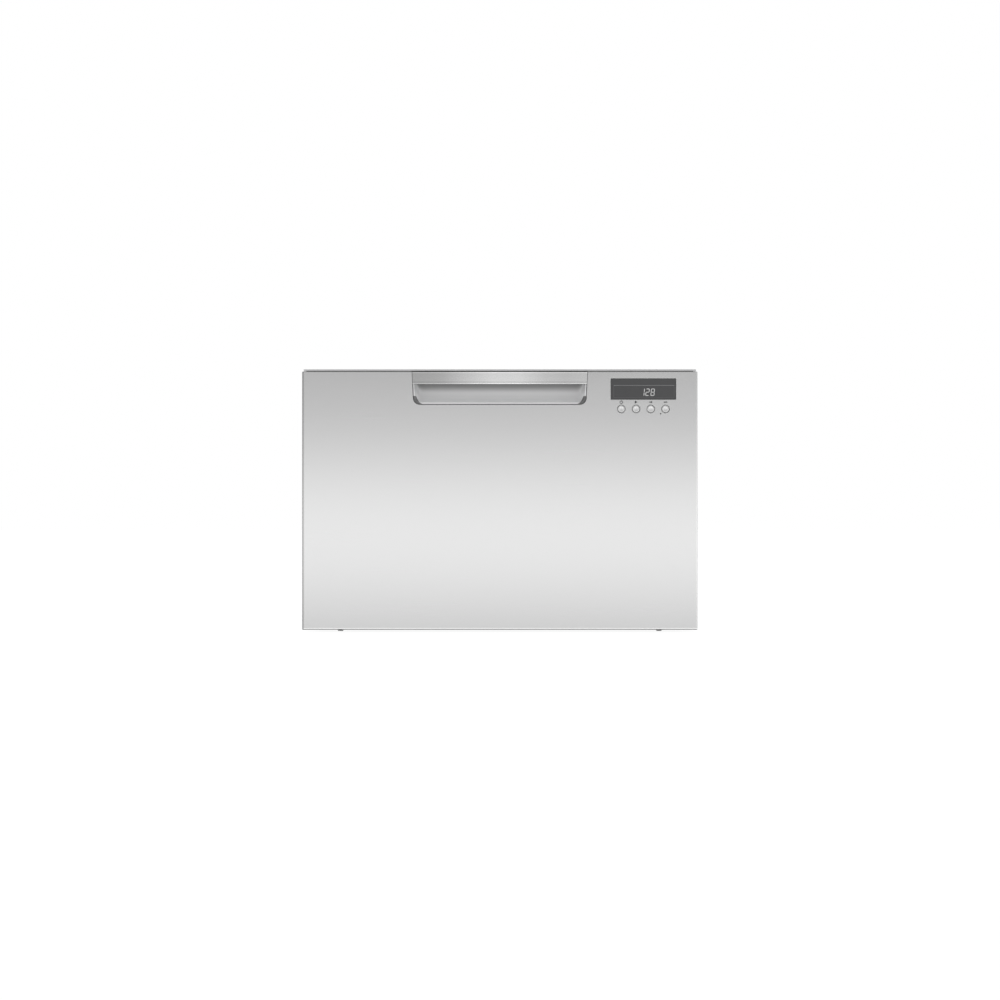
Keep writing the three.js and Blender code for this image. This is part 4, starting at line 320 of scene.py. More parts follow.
# ---------------------------------------------------------------- node trees
class Nodes:
    """Adds nodes to a tree and links them."""

    def __init__(self, tree):
        self.tree = tree

    def put(self, node, values):
        """Links outputs to the sockets of a node, or sets them to plain values."""
        for name, value in values.items():
            socket = node.inputs[name]
            if isinstance(value, bpy.types.NodeSocket):
                self.tree.links.new(value, socket)
            else:
                socket.default_value = value
        return node

    def add(self, kind, values=None, **settings):
        node = self.tree.nodes.new(kind)
        for name, value in settings.items():
            setattr(node, name, value)
        return self.put(node, values or {})

    def math(self, operation, a, b=0.0):
        return self.add("ShaderNodeMath", {0: a, 1: b}, operation=operation).outputs[0]

    def plus(self, a, b):
        return self.math("ADD", a, b)

    def less(self, a, b):
        return self.math("SUBTRACT", a, b)

    def times(self, a, b):
        return self.math("MULTIPLY", a, b)

    def over(self, a, b):
        return self.math("DIVIDE", a, b)

    def ramp(self, fac, stops):
        node = self.add("ShaderNodeValToRGB", {"Fac": fac})
        elements = node.color_ramp.elements
        while len(elements) < len(stops):
            elements.new(1.0)
        for element, (position, color) in zip(elements, stops):
            element.position = position
            element.color = color
        return node.outputs["Color"]

    def profile(self, value, stops):
        """A number that follows straight lines from stop to stop, each a [place, number] pair."""
        total = stops[0][1]
        for (start, low), (end, high) in zip(stops, stops[1:]):
            if high != low:
                values = {"Value": value, "From Min": start, "From Max": end, "To Max": high - low}
                total = self.plus(self.add("ShaderNodeMapRange", values).outputs[0], total)
        return total

    def toned(self, colour, share):
        """The colour, times a share."""
        values = {0: 1.0, 6: colour, 7: share}
        return self.add("ShaderNodeMix", values, data_type="RGBA", blend_type="MULTIPLY").outputs[2]

    def between(self, fac, a, b):
        """A colour that goes from a to b with the factor."""
        return self.add("ShaderNodeMix", {0: fac, 6: a, 7: b}, data_type="RGBA").outputs[2]

    def noise(self, place, scale, detail=2.0, roughness=0.5):
        """Soft clouds, from nought to one."""
        values = {"Vector": place, "Scale": scale, "Detail": detail, "Roughness": roughness}
        return self.add("ShaderNodeTexNoise", values).outputs["Fac"]

    def spread(self, value, low, high):
        """A share from nought to one, spread from low to high."""
        values = {"Value": value, "To Min": low, "To Max": high}
        return self.add("ShaderNodeMapRange", values).outputs[0]


class Rule(Nodes):
    """A geometry tree that grows a piece from named sizes, in millimetres."""

    def __init__(self, name, **sizes):
        super().__init__(bpy.data.node_groups.new(name, "GeometryNodeTree"))
        self.sizes = sizes
        ends = self.tree.interface
        ends.new_socket("Geometry", in_out="OUTPUT", socket_type="NodeSocketGeometry")
        for label, value in sizes.items():
            kind = "NodeSocketInt" if isinstance(value, int) else "NodeSocketFloat"
            ends.new_socket(label, in_out="INPUT", socket_type=kind)
        self.size = self.tree.nodes.new("NodeGroupInput").outputs
        self.grown = []

    def point(self, x=0.0, y=0.0, z=0.0):
        return self.add("ShaderNodeCombineXYZ", {"X": x, "Y": y, "Z": z}).outputs[0]

    def line(self, start, end):
        values = {"Start": start, "End": end}
        return self.add("GeometryNodeCurvePrimitiveLine", values).outputs[0]

    def circle(self, radius, sides):
        values = {"Resolution": sides, "Radius": radius}
        return self.add("GeometryNodeCurvePrimitiveCircle", values).outputs[0]

    def rectangle(self, width, height, radius, steps=2):
        values = {"Width": width, "Height": height}
        flat = self.add("GeometryNodeCurvePrimitiveQuadrilateral", values).outputs[0]
        values = {"Curve": flat, "Radius": radius, "Count": steps}
        return self.add("GeometryNodeFilletCurve", values, mode="POLY").outputs[0]

    def swept(self, path, section, scale=1.0):
        values = {"Curve": path, "Profile Curve": section, "Scale": scale, "Fill Caps": True}
        return self.add("GeometryNodeCurveToMesh", values).outputs[0]

    def moved(self, piece, place):
        values = {"Geometry": piece, "Translation": place}
        return self.add("GeometryNodeTransform", values).outputs[0]

    def row(self, piece, count, start, step):
        """Copies of the piece, a step apart."""
        values = {"Count": count, "Start Location": start, "Offset": step}
        points = self.add("GeometryNodeMeshLine", values).outputs[0]
        values = {"Points": points, "Instance": piece}
        return self.add("GeometryNodeInstanceOnPoints", values).outputs[0]

    def along(self, piece, path, count):
        """Copies of the piece along a level path, each turned with it, their X across the path."""
        points = self.add("GeometryNodeCurveToPoints", {"Curve": path, "Count": count}, mode="COUNT")
        turn = self.add(
            "FunctionNodeAlignRotationToVector",
            {"Vector": points.outputs["Tangent"]},
            axis="Y",
            pivot_axis="Z",
        ).outputs[0]
        values = {"Points": points.outputs["Points"], "Instance": piece, "Rotation": turn}
        return self.add("GeometryNodeInstanceOnPoints", values).outputs[0]

    def close(self, material):
        """Ends the tree: everything grown becomes real mesh, in metres, with its material."""
        whole = self.tree.nodes.new("GeometryNodeJoinGeometry")
        for piece in self.grown:
            self.put(whole, {0: piece})
        values = {"Geometry": whole.outputs[0], "Scale": (MM, MM, MM)}
        metres = self.add("GeometryNodeTransform", values).outputs[0]
        real = self.add("GeometryNodeRealizeInstances", {"Geometry": metres}).outputs[0]
        painted = self.add("GeometryNodeSetMaterial", {"Geometry": real, "Material": material})
        self.add("NodeGroupOutput", {0: painted.outputs[0]})
        return self

    def run(self, name, **changes):
        """Grows one piece, as a plain mesh with its faces outwards."""
        piece = placed(name, bpy.data.meshes.new(name))
        rule = piece.modifiers.new("rule", "NODES")
        rule.node_group = self.tree
        values = {**self.sizes, **changes}
        for item in self.tree.interface.items_tree:
            if item.in_out == "INPUT":
                rule[item.identifier] = values[item.name]
        return cleaned(settle(piece))


def grey(level, blue=0.0):
    return (level, level, level * (1 + blue), 1.0)


def new_material(name):
    """A material with its node helper, its shader and the place on the piece."""
    material = bpy.data.materials.new(name)
    material.use_nodes = True
    nodes = Nodes(material.node_tree)
    shader = material.node_tree.nodes["Principled BSDF"]
    place = nodes.add("ShaderNodeTexCoord").outputs["Object"]
    return material, nodes, shader, place


def scaled(nodes, place, scale):
    """The place, stretched by its own share each way."""
    return nodes.add("ShaderNodeMapping", {"Vector": place, "Scale": scale}).outputs[0]


def bump(nodes, shader, height, strength, distance):
    values = {"Height": height, "Strength": strength, "Distance": distance}
    nodes.put(shader, {"Normal": nodes.add("ShaderNodeBump", values).outputs[0]})


def brushed_steel(name, level, direction, roughness, anisotropy, along=None):
    """Stainless sheet with fine grinding lines along one axis.

    Along gives [millimetres of X, share] pairs of painted shade, highlights and reflections across the
    piece."""
    material, nodes, shader, place = new_material(name)
    long, fine = 3.0, 2600.0
    scale = [long if axis == direction else fine for axis in "xyz"]
    lines = nodes.noise(scaled(nodes, place, scale), 1.0, 3.0, 0.6)
    broad = nodes.noise(scaled(nodes, place, [s * 0.09 for s in scale]), 1.0)
    both = nodes.plus(nodes.times(lines, 0.7), nodes.times(broad, 0.3))
    tone = nodes.ramp(both, [(0.3, grey(level * 0.992)), (0.7, grey(level * 1.006))])
    # Painted shade, highlights and reflections across the piece.
    if along:
        across = nodes.add("ShaderNodeSeparateXYZ", {"Vector": place}).outputs[0]
        tone = nodes.toned(tone, nodes.profile(across, [(x * MM, share) for x, share in along]))
    rough = nodes.spread(both, roughness - 0.012, roughness + 0.012)
    nodes.put(shader, {"Base Color": tone, "Roughness": rough, "Metallic": 1.0, "Anisotropic": anisotropy})
    bump(nodes, shader, lines, 0.035, 0.00005)
    return material


def moulded_plastic(name, colour, roughness):
    """Moulded plastic with the fine texture of its tool."""
    material, nodes, shader, place = new_material(name)
    texture = nodes.noise(place, 900.0)
    darker, lighter = (tuple(min(c * share, 1.0) for c in colour[:3]) + (1.0,) for share in (0.94, 1.06))
    tone = nodes.between(nodes.noise(place, 14.0), darker, lighter)
    rough = nodes.spread(texture, roughness - 0.06, roughness + 0.06)
    nodes.put(shader, {"Base Color": tone, "Roughness": rough})
    bump(nodes, shader, texture, 0.25, 0.00004)
    return material


def painted_light_by_height(material, stops, lift=None):
    """Paints shade and highlights into a material's colour by the height on the piece, from [millimetres,
    share] pairs.

    Lift raises the painted tones towards both ends of a wide piece: from the first to the second distance
    from its middle they climb by the third, all in millimetres."""
    nodes = Nodes(material.node_tree)
    shader = material.node_tree.nodes["Principled BSDF"]
    place = nodes.add("ShaderNodeTexCoord").outputs["Object"]
    across, _, height = nodes.add("ShaderNodeSeparateXYZ", {"Vector": place}).outputs
    if lift:
        start, end, climb = (length * MM for length in lift)
        values = {"Value": nodes.math("ABSOLUTE", across), "From Min": start, "From Max": end}
        near_end = nodes.math("POWER", nodes.add("ShaderNodeMapRange", values).outputs[0], 3.0)
        height = nodes.less(height, nodes.times(near_end, climb))
    share = nodes.profile(height, [(z * MM, value) for z, value in stops])
    colour = shader.inputs["Base Color"].links[0].from_socket
    nodes.put(shader, {"Base Color": nodes.toned(colour, share)})


def galvanised_sheet(name):
    """Zinc coated sheet with its crystals."""
    material, nodes, shader, place = new_material(name)
    values = {"Vector": place, "Scale": 160.0, "Randomness": 1.0}
    crystals = nodes.add("ShaderNodeTexVoronoi", values).outputs["Color"]
    flat = nodes.add("ShaderNodeSeparateColor", {"Color": crystals}).outputs[0]
    tone = nodes.ramp(flat, [(0.0, grey(0.49, 0.02)), (1.0, grey(0.55, 0.03))])
    nodes.put(shader, {"Base Color": tone, "Roughness": nodes.spread(flat, 0.38, 0.46), "Metallic": 1.0})
    bump(nodes, shader, flat, 0.04, 0.0001)
    return material


def smoked_window(name):
    """The dark, glossy window of the display."""
    material, nodes, shader, place = new_material(name)
    tone = nodes.between(nodes.noise(place, 30.0), (0.034, 0.034, 0.036, 1), (0.043, 0.043, 0.045, 1))
    values = {"Base Color": tone, "Roughness": 0.16, "Coat Weight": 0.3, "Coat Roughness": 0.05}
    nodes.put(shader, values)
    return material


def circuit_board(name):
    """Green laminate with paler tracks."""
    material, nodes, shader, place = new_material(name)
    tracks = nodes.add(
        "ShaderNodeTexBrick",
        {
            "Vector": place,
            "Scale": 130.0,
            "Mortar Size": 0.06,
            "Color1": (0.012, 0.085, 0.035, 1),
            "Color2": (0.015, 0.10, 0.04, 1),
            "Mortar": (0.04, 0.20, 0.09, 1),
        },
    )
    nodes.put(shader, {"Base Color": tracks.outputs["Color"], "Roughness": 0.35})
    return material


def black_rubber(name):
    material, nodes, shader, place = new_material(name)
    dust = nodes.noise(place, 60.0, 4.0)
    nodes.put(shader, {"Base Color": nodes.between(dust, grey(0.018), grey(0.034)), "Roughness": 0.72})
    bump(nodes, shader, dust, 0.3, 0.0002)
    return material


def lit_digits(name, colour, strength):
    """Display segments that glow a little."""
    material, nodes, shader, place = new_material(name)
    darker = tuple(c * 0.92 for c in colour[:3]) + (1.0,)
    tone = nodes.between(nodes.noise(place, 400.0), darker, colour)
    nodes.put(shader, {"Base Color": tone, "Emission Color": tone})
    nodes.put(shader, {"Emission Strength": strength, "Roughness": 0.5})
    return material


# Painted shade and highlights, from a place across a piece (X) or up it (Z) and the share of its tone
# there.
# Painted shade down the left edge of the drawer front, and painted highlights along its right edge.
FRONT_PAINTED_LIGHT_ACROSS = [(-296.7, 0.68), (-296.5, 1.0), (296.9, 1.0), (297.2, 1.06), (298.5, 1.06), (298.7, 1.3)]
# Up the drawer front: a painted dark line and a painted highlight at its foot, and painted shade along its
# top edge.
FRONT_PAINTED_LIGHT_UP = [(5.05, 0.3), (5.15, 1.36), (6.6, 1.36), (6.8, 1.0)]
FRONT_PAINTED_LIGHT_UP += [(394.3, 1.0), (394.4, 0.62), (394.93, 0.62), (394.98, 1.0)]
# Painted reflections across the bar, lighter in the middle and darker towards its ends.
BAR_PAINTED_REFLECTION_ACROSS = [(-133.0, 0.51), (-100.0, 0.55), (-85.0, 0.585), (-55.0, 0.74), (-10.0, 0.92)]
BAR_PAINTED_REFLECTION_ACROSS += [(30.0, 0.92), (70.0, 0.74), (100.0, 0.69), (133.0, 0.73)]
# Up the bar: painted highlights on its lower and upper edges, a painted darker band above the lower one,
# and painted shade along its top.
BAR_PAINTED_LIGHT_UP = [(376.0, 1.3), (377.5, 1.3), (377.8, 0.84), (379.0, 0.84), (381.0, 1.0), (392.7, 1.0)]
BAR_PAINTED_LIGHT_UP += [(392.9, 1.25), (394.25, 1.25), (394.35, 0.03), (394.53, 0.03), (394.58, 0.6)]
# Up the pocket: a painted dark line in the groove at its foot, a painted highlight on its rim, and painted
# shade that deepens towards the bar; the lift pulls that shade back near its ends.
POCKET_PAINTED_SHADE_UP = [(346.1, 0.2), (346.2, 1.2), (350.0, 1.2), (353.0, 1.13), (357.5, 1.0), (363.5, 1.03)]
POCKET_PAINTED_SHADE_UP += [(366.4, 0.86), (369.5, 0.55), (372.5, 0.36), (375.0, 0.31)]
POCKET_PAINTED_SHADE_LIFT = (114.0, 127.0, 12.0)

# The drawer front and the bar carry painted shade, highlights and reflections in their colour.
steel_front = brushed_steel("brushed_steel_front", 0.39, "x", 0.27, 0.0, FRONT_PAINTED_LIGHT_ACROSS)
painted_light_by_height(steel_front, FRONT_PAINTED_LIGHT_UP)
steel_bar = brushed_steel("brushed_steel_bar", 0.62, "x", 0.22, 0.0, BAR_PAINTED_REFLECTION_ACROSS)
painted_light_by_height(steel_bar, BAR_PAINTED_LIGHT_UP)
silvered = brushed_steel("silvered_button", 0.45, "x", 0.34, 0.0)
steel_heater = brushed_steel("steel_heater_plate", 0.55, "x", 0.30, 0.2)
rail_steel = brushed_steel("rolled_rail_steel", 0.52, "y", 0.30, 0.0)
zinc = galvanised_sheet("zinc_coated_sheet")
dark_plastic = moulded_plastic("dark_moulded_plastic", (0.022, 0.022, 0.024, 1), 0.5)
grey_plastic = moulded_plastic("grey_moulded_plastic", (0.33, 0.345, 0.355, 1), 0.42)
trim_plastic = moulded_plastic("trim_plastic", (0.80, 0.80, 0.81, 1), 0.40)
# A black strip with almost no shine, which paints the shade of the gap over the drawer front.
shadow_gap_black = moulded_plastic("shadow_gap_black", (0.006, 0.006, 0.006, 1), 0.7)
shadow_gap_black.node_tree.nodes["Principled BSDF"].inputs["Specular IOR Level"].default_value = 0.05
# Silver plastic for the pocket, with painted shade towards the bar and a painted dark line and highlight at
# its foot.
pocket_plastic_and_painted_shade = moulded_plastic("pocket_silver_plastic_painted_shade", (0.72, 0.72, 0.725, 1), 0.36)
painted_light_by_height(pocket_plastic_and_painted_shade, POCKET_PAINTED_SHADE_UP, POCKET_PAINTED_SHADE_LIFT)
pale_plastic = moulded_plastic("pale_moulded_plastic", (0.68, 0.69, 0.70, 1), 0.38)
foot_nylon = moulded_plastic("foot_nylon", (0.86, 0.86, 0.86, 1), 0.4)
rack_plastic = moulded_plastic("rack_coating", (0.25, 0.275, 0.30, 1), 0.36)
window_plastic = smoked_window("smoked_window")
board_green = circuit_board("circuit_board")
rubber = black_rubber("black_rubber")
digit_glow = lit_digits("display_digits", (0.62, 0.62, 0.62, 1), 0.05)
line_glow = lit_digits("display_line", (0.20, 0.20, 0.205, 1), 0.02)
faint_line = lit_digits("display_frame_line", (0.085, 0.085, 0.088, 1), 0.01)
icon_ink = moulded_plastic("icon_ink", (0.045, 0.045, 0.048, 1), 0.55)

FINISHES = {  # by the record's slots
    "galvanised_steel": zinc,
    "dark_plastic": dark_plastic,
    "grey_plastic": grey_plastic,
    "pale_plastic": pale_plastic,
    "rack_plastic": rack_plastic,
    "stainless": steel_heater,
    "black_rubber": rubber,
    "dark_window": window_plastic,
    "circuit_board": board_green,
}


# ---------------------------------------------------------------- drawer front
def handle_outline(inset, foot_inset=None, top=FRONT_TOP):
    """The handle's opening as a U from its top left to its top right, drawn in by an inset."""
    foot_inset = inset if foot_inset is None else foot_inset
    foot = FRONT_TOP - HANDLE_DROP + foot_inset
    radius = max(HANDLE_CORNER - inset, 2.0)

    def half_at(z):
        return HANDLE_WIDTH / 2 - inset - (FRONT_TOP - z) * HANDLE_TAPER / HANDLE_DROP

    left, steps = [], 12
    for i in range(steps + 1):
        angle = i / steps * math.pi / 2
        z = foot + radius * (1 - math.sin(angle))
        left.append((-(half_at(foot) - radius * (1 - math.cos(angle))), z))
    right = [(-x, z) for x, z in reversed(left)]
    return [(-half_at(top), top), *left, *right, (half_at(top), top)]


def display_outline(inset, steps):
    """The display's opening, drawn in by an inset."""
    half_x, half_z = DISPLAY_WIDTH / 2 - inset, DISPLAY_HEIGHT / 2 - inset
    x, z = (DISPLAY_X - half_x, DISPLAY_X + half_x), (DISPLAY_Z - half_z, DISPLAY_Z + half_z)
    return rounded_corners(*x, *z, DISPLAY_CORNER, steps)


def build_front_skin():
    """One bent sheet: its edges turn back all round, and the handle is cut from its top edge."""
    half = WIDTH / 2
    steps = 4
    corners = rounded_corners(-half, half, FRONT_BOTTOM, FRONT_TOP, FRONT_CORNER, steps)
    right, others = corners[: steps + 1], corners[steps + 1 :]
    notch = handle_outline(0.0)
    # The outline runs anticlockwise from the top right corner, with the notch in its top edge.
    # A point just beside each end of the notch lets the fold keep its full depth up to there.
    beside = HANDLE_WIDTH / 2 + 0.5
    outline = [*right, (beside, FRONT_TOP), *reversed(notch), (-beside, FRONT_TOP), *others]
    in_notch = range(steps + 2, steps + 2 + len(notch))
    loops = [outline, list(reversed(display_outline(0.0, 3)))]
    radius = BUTTON_DIAMETER / 2 + HOLE_MARGIN
    for x in BUTTON_X:
        turns = [-a * math.pi / 24 for a in range(48)]
        loops.append([(x + radius * math.cos(a), BUTTON_Z + radius * math.sin(a)) for a in turns])

    def size(n, i):
        """The bend radius at a point of the outline or a hole, and how deep its edge runs."""
        if n > 0:
            return (WINDOW_BEND if n == 1 else HOLE_BEND), SKIN
        if i in in_notch:
            return NOTCH_BEND, SKIN
        return OUTER_BEND, FRAME_BACK - FRONT

    def bend(share):
        turn = share * math.pi / 2

        def station(n, i):
            radius, _ = size(n, i)
            return radius * (1 - math.sin(turn)), FRONT + radius * (1 - math.cos(turn))

        return station

    def edge(n, i):
        return 0.0, FRONT + size(n, i)[1]

    def inset(n, i):
        return SKIN if n == 0 and i not in in_notch else 0.0

    def hem(n, i):
        return inset(n, i), FRONT + size(n, i)[1]

    def inner(n, i):
        return inset(n, i), FRONT + SKIN

    stations = [bend(k / 4) for k in range(5)] + [edge, hem, inner]
    skin = faced_plate("front_skin_sheet", loops, stations)
    stand_in(shade(skin, 50), steel_front, "front_skin")


def scoop_ring(depth, wall):
    """The U of the scoop at a share of its depth, for the inside or, a wall out, the outside."""
    curve = 1 - math.sqrt(1 - SCOOP_ARC * depth * depth)
    lip = SCOOP_LIP - wall
    ends, foot = max(lip + SCOOP_DRAW * curve, GAP), max(lip + SCOOP_RISE * curve, GAP)
    y = FRONT + SCOOP_DEPTH * depth
    return [(x, y, z) for x, z in handle_outline(ends, foot, FRONT_TOP - GAP)]


def build_handle_pocket():
    """The scoop behind the bar: its floor climbs and its ends draw in towards the back."""
    face = FRONT + RIM_SUNK

    def rim_ring(inset, behind):
        return [(x, face + behind, z) for x, z in handle_outline(inset, None, FRONT_TOP - GAP)]

    # From the back of the rim, over the floor of the groove and its wall, to the rounded lip.
    slope, flange, round_in, round_back = 0.1, 0.7, 0.2, 0.35
    rim = [
        rim_ring(GAP, GROOVE_DEPTH + flange),
        rim_ring(GAP, GROOVE_DEPTH + slope),
        rim_ring(GROOVE_WIDTH, GROOVE_DEPTH),
        rim_ring(GROOVE_WIDTH, 0.0),
        rim_ring(SCOOP_LIP + round_in, 0.0),
    ]
    depths = [k / 20 for k in range(21)]
    inner = [scoop_ring(depth, 0.0) for depth in depths]
    inner[0] = [(x, face + round_back, z) for x, _, z in inner[0]]
    outer = [scoop_ring(depth, POCKET_WALL) for depth in depths[4:]]
    rings = [*rim, *inner]
    count = len(rings[0])
    points = [p for ring in rings for p in ring]
    faces = []
    for r in range(len(rings) - 1):
        for i in range(count - 1):
            a, b = r * count + i, (r + 1) * count + i
            faces.append((a, a + 1, b + 1, b))
    # The back of the scoop closes it, and the outer shell follows at the thickness of the wall.
    back = (len(rings) - 1) * count
    faces.append(tuple(back + i for i in range(count)))
    start = len(points)
    end = [(x, y + POCKET_WALL, z) for x, y, z in inner[-1]]
    shell = [*outer, end]
    points += [p for ring in shell for p in ring]
    for r in range(len(shell) - 1):
        for i in range(count - 1):
            a, b = start + r * count + i, start + (r + 1) * count + i
            faces.append((a, b, b + 1, a + 1))
    last = start + (len(shell) - 1) * count
    faces.append(tuple(reversed([last + i for i in range(count)])))
    # Joins the shell to the rim, and closes the top edges.
    for i in range(count - 1):
        faces.append((i, start + i, start + i + 1, i + 1))
    for side in (0, count - 1):
        inner_edge = [r * count + side for r in range(len(rings))]
        outer_edge = [start + r * count + side for r in range(len(shell))]
        faces.append(tuple(inner_edge + list(reversed(outer_edge))))
    faces.append((back, back + count - 1, last + count - 1, last))
    pocket = object_of("handle_pocket_scoop", points, faces)
    half = HANDLE_WIDTH / 2 + 10
    heights = (FRONT_TOP - BAR_HEIGHT - GAP, FRONT_TOP + 5)
    cut(pocket, box_mesh("bar_slot", (-half, half), (FRONT - 5, FRONT + BAR_THICKNESS + GAP), heights))
    stand_in(shade(pocket, 35), pocket_plastic_and_painted_shade, "handle_pocket")


def build_handle_bar():
    """A bar that bows out in the middle, with rolled edges, on a post behind each end."""
    top, foot = FRONT_TOP - BAR_SUNK, FRONT_TOP - BAR_HEIGHT
    rings = []
    for k in range(49):
        share = k / 24 - 1
        face = FRONT - BAR_PROUD * (1 - share * share)
        section = rounded_corners(face, FRONT + BAR_THICKNESS, foot, top, BAR_EDGE, 6)
        ring = []
        for y, z in section:
            half = HANDLE_WIDTH / 2 - 2 * GAP - (FRONT_TOP - z) * HANDLE_TAPER / HANDLE_DROP
            ring.append((share * half, y, z))
        rings.append(ring)
    bar = lofted("handle_bar_steel", rings)
    reach = HANDLE_WIDTH / 2 - SCOOP_LIP - HANDLE_TAPER - 2 * GAP
    heights = (foot + POST_THICKNESS, top - POST_THICKNESS)
    for side in (-1, 1):
        x = sorted((side * (reach - POST_THICKNESS), side * reach))
        join(bar, box_mesh("post", x, [FRONT + y for y in POST_REACH], heights))
    stand_in(shade(bar, 35), steel_bar, "handle_bar")


def joined(name, shells):
    """One piece from several, under its own name."""
    shells[0].name = name
    return join(*shells)


def slab(name, outline, front, back, edge):
    """A flat piece that faces the front, with a rounded front edge and a chamfer at the back."""
    stations = [
        lambda n, i: (edge, front),
        lambda n, i: (edge * 0.3, front + edge * 0.3),
        lambda n, i: (0.0, front + edge),
        lambda n, i: (0.0, back - edge),
        lambda n, i: (edge, back),
    ]
    return faced_plate(name, [outline], stations)


def flat_sign(name, outline, front):
    """A printed or lit sign, a few hundredths of a millimetre proud of what it is on."""
    return slab(name, outline, front - 0.06, front + 0.04, 0.02)


def build_shadow_gap_strip():
    """A thin black strip on the face of the chassis trim, just over the drawer front, which paints the
    shade of the gap there.
    """
    outline = rounded_corners(-SHADOW_STRIP_HALF_WIDTH, SHADOW_STRIP_HALF_WIDTH, *SHADOW_STRIP_HEIGHTS, 0.3, 2)
    lip = slab("trim_lip", outline, *SHADOW_STRIP_DEPTHS, 0.05)
    fit(lip, shadow_gap_black, "chassis")


def build_display():
    """The window with its lines and its number."""
    front = FRONT + LENS_SUNK
    lens = slab("display_window", display_outline(GAP, 4), front, front + LENS_THICKNESS, 0.35)
    stand_in(shade(lens, 30), window_plastic, "display_lens")
    # The lines round the number: one bright rule above it, and faint ones at its sides and below.
    left, right, foot, top = DISPLAY_LINES
    thick, upright, level, apart = 0.8, 0.5, 0.4, 0.1
    rule = flat_sign("display_rule", rounded_corners(left, right, top - thick, top, 0.2, 2), front)
    fit(rule, line_glow, "drawer")
    under, beside = top - thick - 2 * apart, upright + apart
    lines = [
        (left, left + upright, foot, under),
        (right - upright, right, foot, under),
        (left + beside, right - beside, foot, foot + level),
    ]
    shells = [flat_sign("line", rounded_corners(*line, 0.15, 2), front) for line in lines]
    fit(joined("display_frame_lines", shells), faint_line, "drawer")
    fit(seven_segments("display_number", front), digit_glow, "drawer")


NUMBER = "128"
SEGMENTS = {"1": "bc", "2": "abged", "8": "abcdefg"}
DIGIT_LEFTS = (213.4, 220.8, 228.6)
DIGIT_FOOT, DIGIT_WIDTH, DIGIT_HEIGHT = 358.3, 5.9, 11.0


def seven_segments(name, front):
    """The number, of slanted bars with pointed ends, as a display forms them."""
    half, lean, apart = 0.575, 0.09, 0.15
    foot, top = DIGIT_FOOT, DIGIT_FOOT + DIGIT_HEIGHT
    middle = foot + DIGIT_HEIGHT / 2
    bars = []
    for left, figure in zip(DIGIT_LEFTS, NUMBER):
        right = left + DIGIT_WIDTH
        rows = {"a": top - half, "g": middle, "d": foot + half}
        columns = {
            "f": (left + half, middle, top),
            "e": (left + half, foot, middle),
            "b": (right - half, middle, top),
            "c": (right - half, foot, middle),
        }
        for key in SEGMENTS[figure]:
            if key in rows:
                z, a, b = rows[key], left + half + apart, right - half - apart
                outline = [(a, z), (a + half, z - half), (b - half, z - half)]
                outline += [(b, z), (b - half, z + half), (a + half, z + half)]
            else:
                x, low, high = columns[key]
                a, b = low + apart, high - apart
                outline = [(x, a), (x + half, a + half), (x + half, b - half)]
                outline += [(x, b), (x - half, b - half), (x - half, a + half)]
            outline = [(x + (z - middle) * lean, z) for x, z in outline]
            bars.append(flat_sign("bar", outline, front))
    return joined(name, bars)


def build_buttons():
    """Caps with a shallow dish and a rounded rim, on a flange that stays behind the steel."""
    face = FRONT - CAP_PROUD
    radius = BUTTON_DIAMETER / 2 - CAP_MARGIN
    rim, round_off, dish = 1.7, 1.1, 0.3
    flange, flange_back, stem = radius + 1.7, FLANGE_FRONT + 1.2, 2.0
    profile = [(AXIS, face + dish)]
    for k in range(1, 6):
        share = k / 5
        profile.append((share * (radius - rim), face + dish * (1 - share * share)))
    for k in range(1, 7):
        turn = k / 6 * math.pi / 2
        reach, back = radius - rim + rim * math.sin(turn), round_off * (1 - math.cos(turn))
        profile.append((reach, face + back))
    profile += [
        (radius, FLANGE_FRONT),
        (flange, FLANGE_FRONT),
        (flange, flange_back),
        (stem, flange_back),
        (stem, STEM_END),
        (AXIS, STEM_END),
    ]
    for use, x in zip(("power", "program", "option", "start"), BUTTON_X):
        button = turned(f"{use}_button_cap", profile, (x, BUTTON_Z), "y", 48)
        stand_in(shade(button, 35), silvered, f"{use}_button")


def build_icons():
    """Plain signs above the buttons: a broken ring, a triangle, an arrow, a dash and a dot below."""

    def arc(x, z, inner, outer, start, stop):
        steps = 24
        angles = [math.radians(start + (stop - start) * k / steps) for k in range(steps + 1)]
        outside = [(x + outer * math.cos(a), z + outer * math.sin(a)) for a in angles]
        inside = [(x + inner * math.cos(a), z + inner * math.sin(a)) for a in reversed(angles)]
        return outside + inside

    def bar(x0, x1, z0, z1):
        return [(x0, z0), (x1, z0), (x1, z1), (x0, z1)]

    a, b, c, d = BUTTON_X
    z = ICON_Z
    signs = [
        arc(a, z, 1.6, 2.6, 125, 415),
        bar(a - 0.5, a + 0.5, z + 0.3, z + 2.9),
        [(b - 2.0, z - 2.3), (b + 2.4, z), (b - 2.0, z + 2.3)],
        bar(c - 2.8, c + 0.4, z - 0.6, z + 0.6),
        [(c, z - 2.0), (c + 2.9, z), (c, z + 2.0)],
        bar(d - 2.8, d + 2.8, z - 0.75, z + 0.75),
        arc(*DOT_PLACE, 0.05, 1.1, 0, 350),
    ]
    shells = [flat_sign("sign", outline, FRONT) for outline in signs]
    fit(joined("button_signs", shells), icon_ink, "drawer")


build_front_skin()
build_handle_pocket()
build_handle_bar()
# The black strip over the drawer front paints the shade of the gap.
build_shadow_gap_strip()
build_display()
build_buttons()
build_icons()


